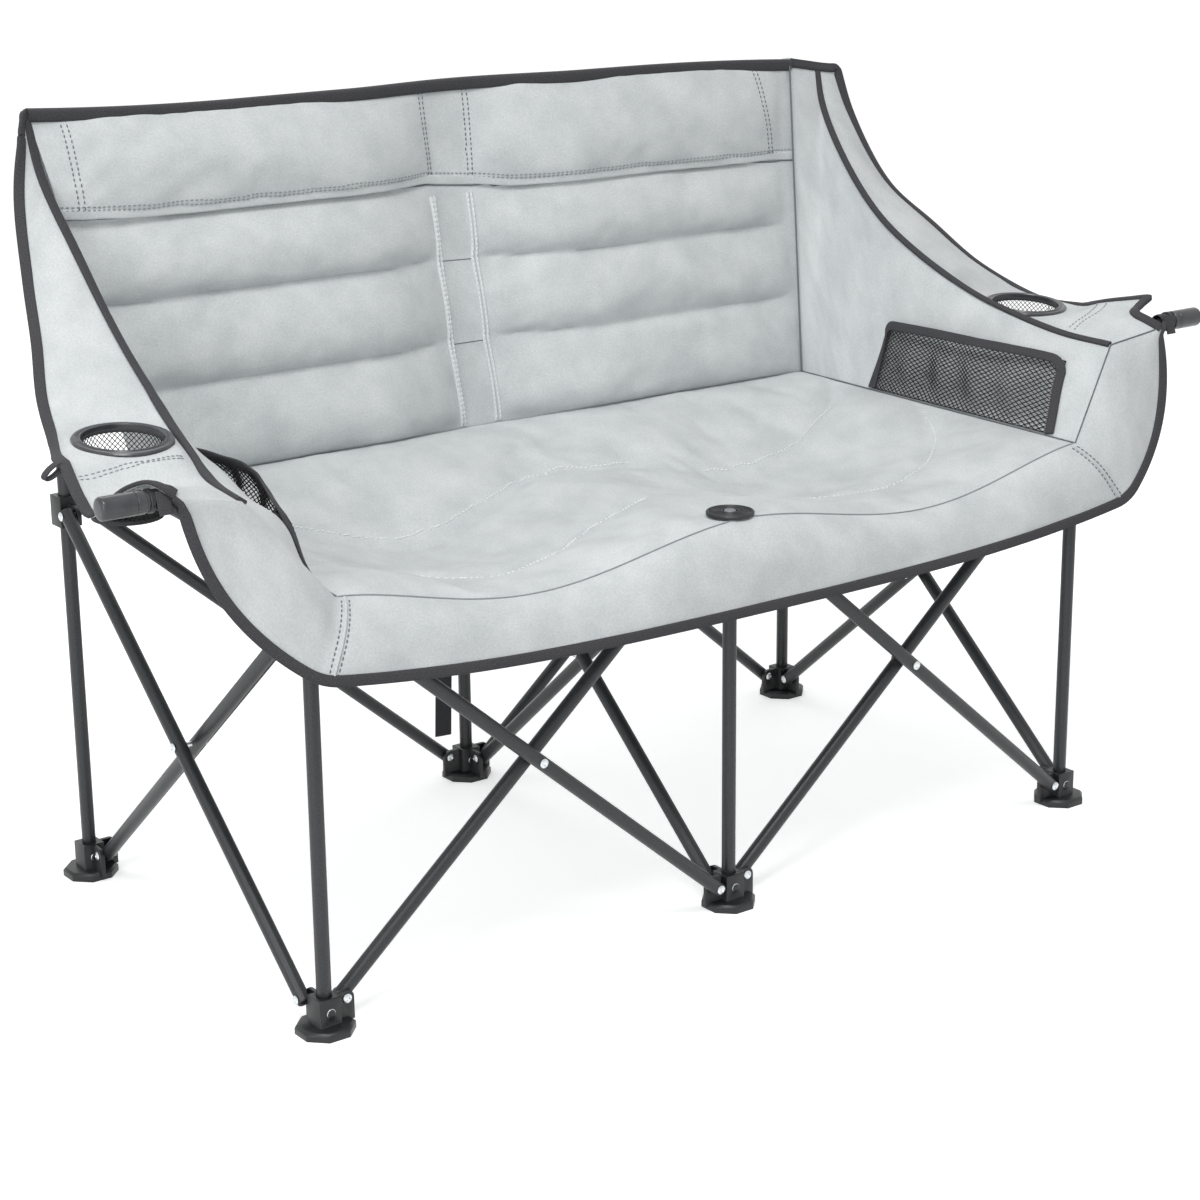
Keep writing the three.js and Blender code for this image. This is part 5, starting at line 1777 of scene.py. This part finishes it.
def net(name, columns, rows, place, thread):
    """A net on a panel."""
    piece = panel(name, columns, rows, place)
    corners = len(piece.data.vertices)
    select_only(piece)
    bpy.ops.object.mode_set(mode="EDIT")
    bpy.ops.mesh.select_mode(type="FACE")
    bpy.ops.mesh.select_all(action="SELECT")
    bpy.ops.mesh.poke()
    bpy.ops.mesh.select_mode(type="EDGE")
    bpy.ops.mesh.select_all(action="DESELECT")
    bpy.ops.object.mode_set(mode="OBJECT")
    faces_at = {}
    for polygon in piece.data.polygons:
        for key in polygon.edge_keys:
            faces_at[key] = faces_at.get(key, 0) + 1
    for edge in piece.data.edges:
        first, second = sorted(edge.vertices)
        inner = faces_at[tuple(sorted(edge.vertices))] == 2
        edge.select = second < corners and inner
    bpy.ops.object.mode_set(mode="EDIT")
    bpy.ops.mesh.dissolve_edges(use_verts=False)
    bpy.ops.object.mode_set(mode="OBJECT")
    apply_modifier(piece, "WIREFRAME", thickness=thread, use_even_offset=False,
                   use_replace=True, use_boundary=True)
    smooth(piece, 70)
    return piece


# %% [markdown]
# The side pockets. Each is a piece of net sewn to the wall at its foot and ends and open at the top,
# where it is gathered a little, so it stands off the wall in soft pleats. A wide binding with rounded
# corners runs up its ends and along its mouth.

# %% Side pockets
POCKET_COLUMNS, POCKET_ROWS = 36, 15
POCKET_REAR, POCKET_FRONT, POCKET_FRONT_TOP = 0.465, 0.955, 0.925
POCKET_LOW = 3
POCKET_HIGH = {"left": 74, "right": 80}
POCKET_MOUTH = {"left": 25, "right": 18}
POCKET_FOOT = 2
POCKET_CORNER = (0.055, 0.17)
PLEATS, PLEAT_DEPTH, PLEAT_LEAN = 5, 3.4, 2.5
POCKET_SWELL = 1.3
POCKET_BINDING_WIDTH, POCKET_BINDING_THICKNESS = 12 * MM, 3.2 * MM
BINDING_LIFT = 1.0
wall_inward = Vector((-1, 0, 0.35)).normalized()


def pocket_point(side, share, rise, lift=0.0):
    """A point of the net: share runs from its rear end to its front end, rise from foot to mouth."""
    station = lerp(POCKET_REAR, lerp(POCKET_FRONT, POCKET_FRONT_TOP, rise), share)
    wall = (inner_edge_point(side, station).z - through(seat_edge, station).z) / MM
    height = lerp(POCKET_LOW, POCKET_HIGH[side], rise) / wall
    swell = smooth_step(POCKET_SWELL * rise) * math.sqrt(max(0, math.sin(math.pi * share)))
    pleat = PLEAT_DEPTH * math.sin(PLEATS * 2 * math.pi * share + PLEAT_LEAN * rise)
    pleat *= math.sin(math.pi * share) * math.sin(math.pi * min(1, rise))
    gap = POCKET_FOOT + (POCKET_MOUTH[side] - POCKET_FOOT) * swell + pleat + lift
    return sided(side, wing_point(side, station, height) + wall_inward * gap * MM)


def pocket_outline(steps):
    """Up one end of the pocket, along its mouth and down the other end, in its own shares."""
    corner_x, corner_y = POCKET_CORNER
    outline = [(1, 0)]
    for x, y, start in ((1 - corner_x, 1 - corner_y, 0), (corner_x, 1 - corner_y, 90)):
        for k in range(steps + 1):
            angle = math.radians(start + 90 * k / steps)
            outline.append((x + corner_x * math.cos(angle), y + corner_y * math.sin(angle)))
    outline.append((0, 0))
    dense = []
    for (x0, y0), (x1, y1) in zip(outline, outline[1:]):
        count = max(1, round(max(abs(x1 - x0) * 60, abs(y1 - y0) * 24)))
        dense += [(lerp(x0, x1, k / count), lerp(y0, y1, k / count)) for k in range(count)]
    return dense + [outline[-1]]


def pocket_frame(side):
    path, wide = [], []
    for share, rise in pocket_outline(6):
        spot = pocket_point(side, share, rise, BINDING_LIFT)
        inside = pocket_point(side, lerp(share, 0.5, 0.05), lerp(rise, 0.5, 0.25), BINDING_LIFT)
        path.append(spot)
        wide.append(inside - spot)
    return tape(f"pocket_binding_{side}", path, wide, POCKET_BINDING_WIDTH,
                POCKET_BINDING_THICKNESS, webbing)


for side in WAY:
    mesh_pocket = net(f"pocket_net_{side}", POCKET_COLUMNS, POCKET_ROWS,
                      lambda share, rise: pocket_point(side, share, rise), POCKET_THREAD)
    binding = pocket_frame(side)
    dress(mesh_pocket, net_yarn, f"rear_{side}_post", [f"side_pocket_{side}"])
    dress(binding, webbing, f"rear_{side}_post")
    for piece in (mesh_pocket, binding):
        gather_back(piece)

# %% [markdown]
# Cup holders. A moulded ring with a flat rim and a deeper inner lip is sewn into the arm top, and a
# bag of net hangs from it. The bag is a net wrapped round a tapering cup, with a round floor.

# %% Cup holders
CUP_RIM = [(42, -7), (44.2, -7), (45, -5.5), (49, -5.5), (52, -4.5), (52, -2.5), (50.6, -0.9),
           (47.8, -0.4), (46.2, -1.5), (45.2, -1.5), (44, 0), (42.6, 0), (42, -0.8)]
NET_BELOW_TOP, NET_DEPTH = 6, 76
NET_MOUTH, NET_FOOT, NET_MIDDLE = 42.8, 36, 0.02
NET_BELLY, FLOOR_SAG = 1.5, 1.5
CUP_CELLS, CUP_HEIGHT_CELLS, FLOOR_CELLS = 48, 14, 6
BAND_STEPS, BAND_THICKNESS, BAND_INSET = 64, 1.8 * MM, 0.01
HEM_BAND, FOOT_BAND = 4 * MM, 5 * MM
wall_share = NET_DEPTH / (NET_DEPTH + NET_FOOT)


def in_metres(outline):
    return [(radius * MM, height * MM) for radius, height in outline]


def cup_ring(side):
    leaning = Vector((0, -math.sin(CUP_TILT), math.cos(CUP_TILT)))
    return turned(f"cup_rim_{side}", in_metres(CUP_RIM), cup_centre(side, CUP_TOP[side]), leaning,
                  steps=72)


def cup_bag_point(side, around, down):
    """A point of the bag: down its wall to wall_share, then across the floor to its middle."""
    net_top = CUP_TOP[side] - NET_BELOW_TOP
    angle = 2 * math.pi * around
    if down < wall_share:
        fall = down / wall_share
        radius = lerp(NET_MOUTH, NET_FOOT, fall) + NET_BELLY * math.sin(math.pi * fall)
        lean = math.tan(CUP_TILT) * radius * math.sin(angle)
        height = net_top - NET_DEPTH * fall + lean * (1 - fall)
    else:
        radius = NET_FOOT * max(0.0, 1 - (down - wall_share) / (1 - wall_share)) + NET_MIDDLE
        height = net_top - NET_DEPTH - FLOOR_SAG * (1 - radius / NET_FOOT)
    spot = Vector((radius * math.cos(angle), radius * math.sin(angle), height))
    return cup_centre(side, 0) + spot * MM


def cup_bag(side):
    bag = net(f"cup_bag_{side}", CUP_CELLS, CUP_HEIGHT_CELLS + FLOOR_CELLS,
              lambda around, down: cup_bag_point(side, around, down), CUP_THREAD)
    bands = []
    for down, width in ((BAND_INSET, HEM_BAND), (wall_share - BAND_INSET, FOOT_BAND)):
        path = [cup_bag_point(side, around, down) for around in shares(BAND_STEPS)]
        bands.append(tape("band", path, (0, 0, 1), width, BAND_THICKNESS, webbing))
    return bag, joined(bands, f"cup_bands_{side}")


for side in WAY:
    rim = cup_ring(side)
    dress(rim, gloss_nylon, f"cup_{side}", [f"cup_ring_{side}"])
    bag, bands = cup_bag(side)
    dress(bag, net_yarn, f"cup_{side}", [f"cup_net_{side}"])
    dress(bands, webbing, f"cup_{side}")
print("cup holders made")

# %% [markdown]
# The disc that clamps the seat to the middle hub is turned with fine concentric ridges and a thick
# rim, and has a lighter button in a sunk ring at its centre.

# %% The clamping disc
DISC_TOP = 469.5
RIDGES, RIDGES_INNER, RIDGES_OUTER = 4, 11.5, 23
RIDGE_CREST, RIDGE_VALLEY = -0.4, -1.7
DISC_EDGE = [(0, -5), (26, -5), (27, -4), (27, -1.6), (26, -0.5), (24, -0.3)]
DISC_SINK = [(10.5, -0.2), (9.4, 0), (8.4, -0.4), (8, -2.2), (0, -2.2)]
BUTTON = [(0, -2.4), (6.6, -2.4), (6.8, -0.5), (6, 0.3), (3.2, 0.6), (2.6, 0.1), (0, 0)]
disc_middle = at(0, 0, DISC_TOP)
ridges = [(radius, RIDGE_CREST if k % 2 else RIDGE_VALLEY)
          for k, radius in enumerate(shares(RIDGES * 2, RIDGES_OUTER, RIDGES_INNER))]
disc = turned("clamping_disc", in_metres([*DISC_EDGE, *ridges, *DISC_SINK]), disc_middle,
              closed=False, steps=64)
button = turned("disc_button", in_metres(BUTTON), disc_middle, closed=False, steps=40)
dress(disc, nylon, "front_middle_hub", ["seat_disc"])
dress(button, button_nylon, "front_middle_hub")
print("clamping disc made with", RIDGES, "ridges")

# %% [markdown]
# The ends of the arms. A short loop of webbing goes round the arm tube behind its cap and pulls the
# corners of the cover tight, and a clip of black nylon stops it from sliding along the tube.

# %% Arm loops and clips
LOOP_REACH, LOOP_WIDTH = 693 * MM, 15 * MM
LOOP_RADIUS, LOOP_THICKNESS = 9.6 * MM, 1.8 * MM
TAB_TOP, TAB_FOOT, TAB_THICKNESS = (694, -4, 604), (694, -12, 582), 2.2 * MM
CLIP_REACH = 703.5 * MM
CLIP = [(8.2, -2.6), (11.2, -2.6), (12, -1.8), (12, 1.8), (11.2, 2.6), (8.2, 2.6)]


def on_arm(side, reach):
    """A point in the middle of the level end of an arm tube."""
    return Vector((WAY[side] * reach, front_row + ARM_TIP_DEPTH, ARM_TIP_HEIGHT))


def arm_loop(side):
    """The loop and its short tab ride on the arm, with the tube that they go round."""
    path = ring(on_arm(side, LOOP_REACH), LOOP_RADIUS, (0, 1, 0))
    loop = tape("loop", path, (1, 0, 0), LOOP_WIDTH, LOOP_THICKNESS, webbing)
    tail = [sided(side, at(*TAB_TOP).lerp(at(*TAB_FOOT), share)) for share in shares(8)]
    tab = tape("tab", tail, (1, 0, 0), LOOP_WIDTH, TAB_THICKNESS, webbing)
    return joined([loop, tab], f"arm_loop_{side}")


for side in WAY:
    body = body_of_node[f"arm_cap_{side}"]
    dress(arm_loop(side), webbing, body)
    clip = turned(f"arm_clip_{side}", in_metres(CLIP), on_arm(side, CLIP_REACH), (1, 0, 0), steps=40)
    dress(clip, nylon, body)
print("arm loops and clips made")

# %% [markdown]
# Sleeves. Behind the back, a hood of doubled cloth slips over the top of each rear post and is bound
# at its mouth, and a web of cloth sews it to the edge of the cover.

# %% Sleeves over the rear posts
SLEEVE_RADIUS, SLEEVE_DOME = 13.5 * MM, 9 * MM
SLEEVE_LOW, SLEEVE_TOP = 812 * MM, 890 * MM
MOUTH_ABOVE, MOUTH_WIDTH, MOUTH_THICKNESS = 4 * MM, 9 * MM, 2.6 * MM
WEB_HEIGHT, WEB_WIDTH, WEB_THICKNESS = 845 * MM, 58 * MM, 5 * MM


def sleeve(name, post):
    shoulder, bore = SLEEVE_TOP - SLEEVE_DOME, SLEEVE_RADIUS - CLOTH_THICKNESS
    dome = [(SLEEVE_RADIUS * math.cos(angle), shoulder + SLEEVE_DOME * math.sin(angle))
            for angle in shares(8, 0, math.pi / 2)]
    outline = [(0, SLEEVE_TOP - CLOTH_THICKNESS), (bore, shoulder), (bore, SLEEVE_LOW),
               (SLEEVE_RADIUS, SLEEVE_LOW), *dome]
    hood = turned(f"{name}_hood", outline, post, closed=False, steps=40)
    mouth = ring(post + UP * (SLEEVE_LOW + MOUTH_ABOVE), SLEEVE_RADIUS, (1, 0, 0), (0, 1, 0))
    return hood, tape(f"{name}_hem", mouth, UP, MOUTH_WIDTH, MOUTH_THICKNESS, webbing)


def sleeve_web(name, start, post):
    end = post - Vector((0, SLEEVE_RADIUS, 0))
    path = [start.lerp(end, share) + UP * WEB_HEIGHT for share in shares(10)]
    return tape(name, path, UP, WEB_WIDTH, WEB_THICKNESS, polyester)


for column, x in column_places.items():
    name, post = f"sleeve_{column}", Vector((x, rear_row, 0))
    hood, hem = sleeve(name, post)
    if column == "middle":
        start = at(0, BACK_TOP_LINE + tuck(0, 1) + 2, 0)
        body = "root"
    else:
        start = sided(column, at(BACK_TOP_RIGHT - 2, BACK_TOP_LINE + 3, 0))
        body = f"rear_{column}_post"
    web = sleeve_web(f"{name}_web", start, post)
    dress(hood, polyester, body)
    dress(hem, webbing, body)
    dress(web, polyester, body)
print("sleeves sewn")

# %% [markdown]
# The strap. A tail of webbing hangs from a loop on the middle rear post, between the crossed bars. It
# goes round the folded loveseat.

# %% The strap
STRAP_WIDTH, STRAP_THICKNESS = 25 * MM, 1.6 * MM
STRAP_BELOW, STRAP_TOP_X, STRAP_FOOT_X = 16 * MM, -21.5 * MM, -35.5 * MM
CURL_DEPTH, CURL_TURN, CURL_START = 2.5 * MM, 3.2, 0.4
POST_LOOP_RADIUS, POST_LOOP_BELOW = 9.8 * MM, 12 * MM
POST_LOOP_WIDTH, POST_LOOP_THICKNESS = 22 * MM, 1.8 * MM
strap_low, strap_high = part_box("rear_strap")
strap_path = []
for share in shares(40):
    height = lerp(strap_high.z - STRAP_BELOW, strap_low.z, share)
    curl = CURL_DEPTH * math.sin(CURL_TURN * share + CURL_START) * share
    strap_path.append(Vector((lerp(STRAP_TOP_X, STRAP_FOOT_X, share), rear_row + curl, height)))
tail = tape("tail", strap_path, (1, 0, 0), STRAP_WIDTH, STRAP_THICKNESS, webbing)
loop_path = ring(Vector((0, rear_row, strap_high.z - POST_LOOP_BELOW)), POST_LOOP_RADIUS,
                 (1, 0, 0), (0, 1, 0))
loop = tape("loop", loop_path, UP, POST_LOOP_WIDTH, POST_LOOP_THICKNESS, webbing)
strap = joined([tail, loop], "rear_strap_webbing")
dress(strap, webbing, "root", ["rear_strap"])
print("strap", round((strap_high.z - strap_low.z) / MM), "mm long")

# %% [markdown]
# A plain pale studio: a floor of paper, three soft lamps and an even world light. The floor and the
# world look white to the camera and in gloss, by way of the Light Path node, so that the light on
# the loveseat itself can stay plain. The camera stands where the photograph was taken from.

# %% Stage, light and camera
PHOTO_SIDE = 1200
FOCAL_PIXELS = 2671.43
SENSOR_WIDTH = 36.0
CAMERA_YAW, CAMERA_PITCH, CAMERA_ROLL = 36.5136, 16.7501, -0.5709
CAMERA_PLACE = (-1812.21, -2204.94, 1225.18)


def photo_camera():
    yaw, pitch, roll = (math.radians(a) for a in (CAMERA_YAW, CAMERA_PITCH, CAMERA_ROLL))
    level = Vector((math.sin(yaw), math.cos(yaw), 0))
    ahead = level * math.cos(pitch) - UP * math.sin(pitch)
    right = Vector((math.cos(yaw), -math.sin(yaw), 0))
    up = right.cross(ahead)
    turned_right = right * math.cos(roll) + up * math.sin(roll)
    turned_up = turned_right.cross(ahead)
    bpy.ops.object.camera_add(location=at(*CAMERA_PLACE))
    camera = bpy.context.active_object
    camera.rotation_mode = "QUATERNION"
    turn = Matrix((turned_right, turned_up, -ahead)).transposed()
    camera.rotation_quaternion = turn.to_quaternion()
    camera.data.sensor_width = SENSOR_WIDTH
    camera.data.lens = FOCAL_PIXELS * SENSOR_WIDTH / PHOTO_SIDE
    bpy.context.scene.camera = camera


LIT_PLACE = Vector((0, 0, 0.5))


def lamp(name, place, size, watts):
    """A round soft lamp that points at the middle of the loveseat."""
    bpy.ops.object.light_add(type="AREA", location=place)
    light = bpy.context.active_object
    light.name = name
    light.data.shape = "DISK"
    light.data.size = size
    light.data.energy = watts
    light.rotation_euler = (LIT_PLACE - Vector(place)).to_track_quat("-Z", "Y").to_euler()


def seen_directly(tree):
    """1 for what the camera sees straight, in a gloss or through something clear."""
    rays = add_node(tree, "ShaderNodeLightPath").outputs
    seen = rays["Is Camera Ray"]
    for kind in ("Is Glossy Ray", "Is Transmission Ray"):
        larger = add_node(tree, "ShaderNodeMath", {0: seen, 1: rays[kind]}, operation="MAXIMUM")
        seen = larger.outputs["Value"]
    return seen


WORLD_LIGHT = 0.55
FLOOR_GLOW = 0.5
FLOOR_SIZE = 40


def studio():
    world = bpy.data.worlds.new("studio")
    bpy.context.scene.world = world
    world.use_nodes = True
    tree = world.node_tree
    tree.nodes.clear()
    light, white = (add_node(tree, "ShaderNodeBackground", {
        "Color": linear("#ffffff"), "Strength": strength}) for strength in (WORLD_LIGHT, 1.0))
    mixed = add_node(tree, "ShaderNodeMixShader", {
        "Fac": seen_directly(tree), 1: light.outputs["Background"], 2: white.outputs["Background"]})
    add_node(tree, "ShaderNodeOutputWorld", {"Surface": mixed.outputs["Shader"]})
    bpy.ops.mesh.primitive_plane_add(size=FLOOR_SIZE)
    floor = bpy.context.active_object
    floor.name = "studio_floor"
    paper, tree, shader = new_material("floor_paper")
    shader.inputs["Roughness"].default_value = 0.9
    seen = seen_directly(tree)
    tone = add_node(tree, "ShaderNodeMix", {
        "Factor": seen, 6: linear("#b9bbbc"), 7: linear("#f4f5f5")}, data_type="RGBA")
    tree.links.new(tone.outputs[2], shader.inputs["Base Color"])
    glow = add_node(tree, "ShaderNodeMath", {0: seen, 1: FLOOR_GLOW}, operation="MULTIPLY")
    shader.inputs["Emission Color"].default_value = linear("#ffffff")
    tree.links.new(glow.outputs["Value"], shader.inputs["Emission Strength"])
    floor.data.materials.append(paper)


LAMPS = [
    ("key_light", (-1.4, -1.6, 4.2), 1.8, 90),
    ("fill_light", (-3.2, -1.6, 1.5), 2.4, 38),
    ("rear_light", (0.4, 2.8, 3.0), 2.4, 22),
]
photo_camera()
studio()
for name, place, size, watts in LAMPS:
    lamp(name, place, size, watts)
bpy.context.scene.view_settings.view_transform = "Standard"
print("stage set with", len(LAMPS), "lamps")
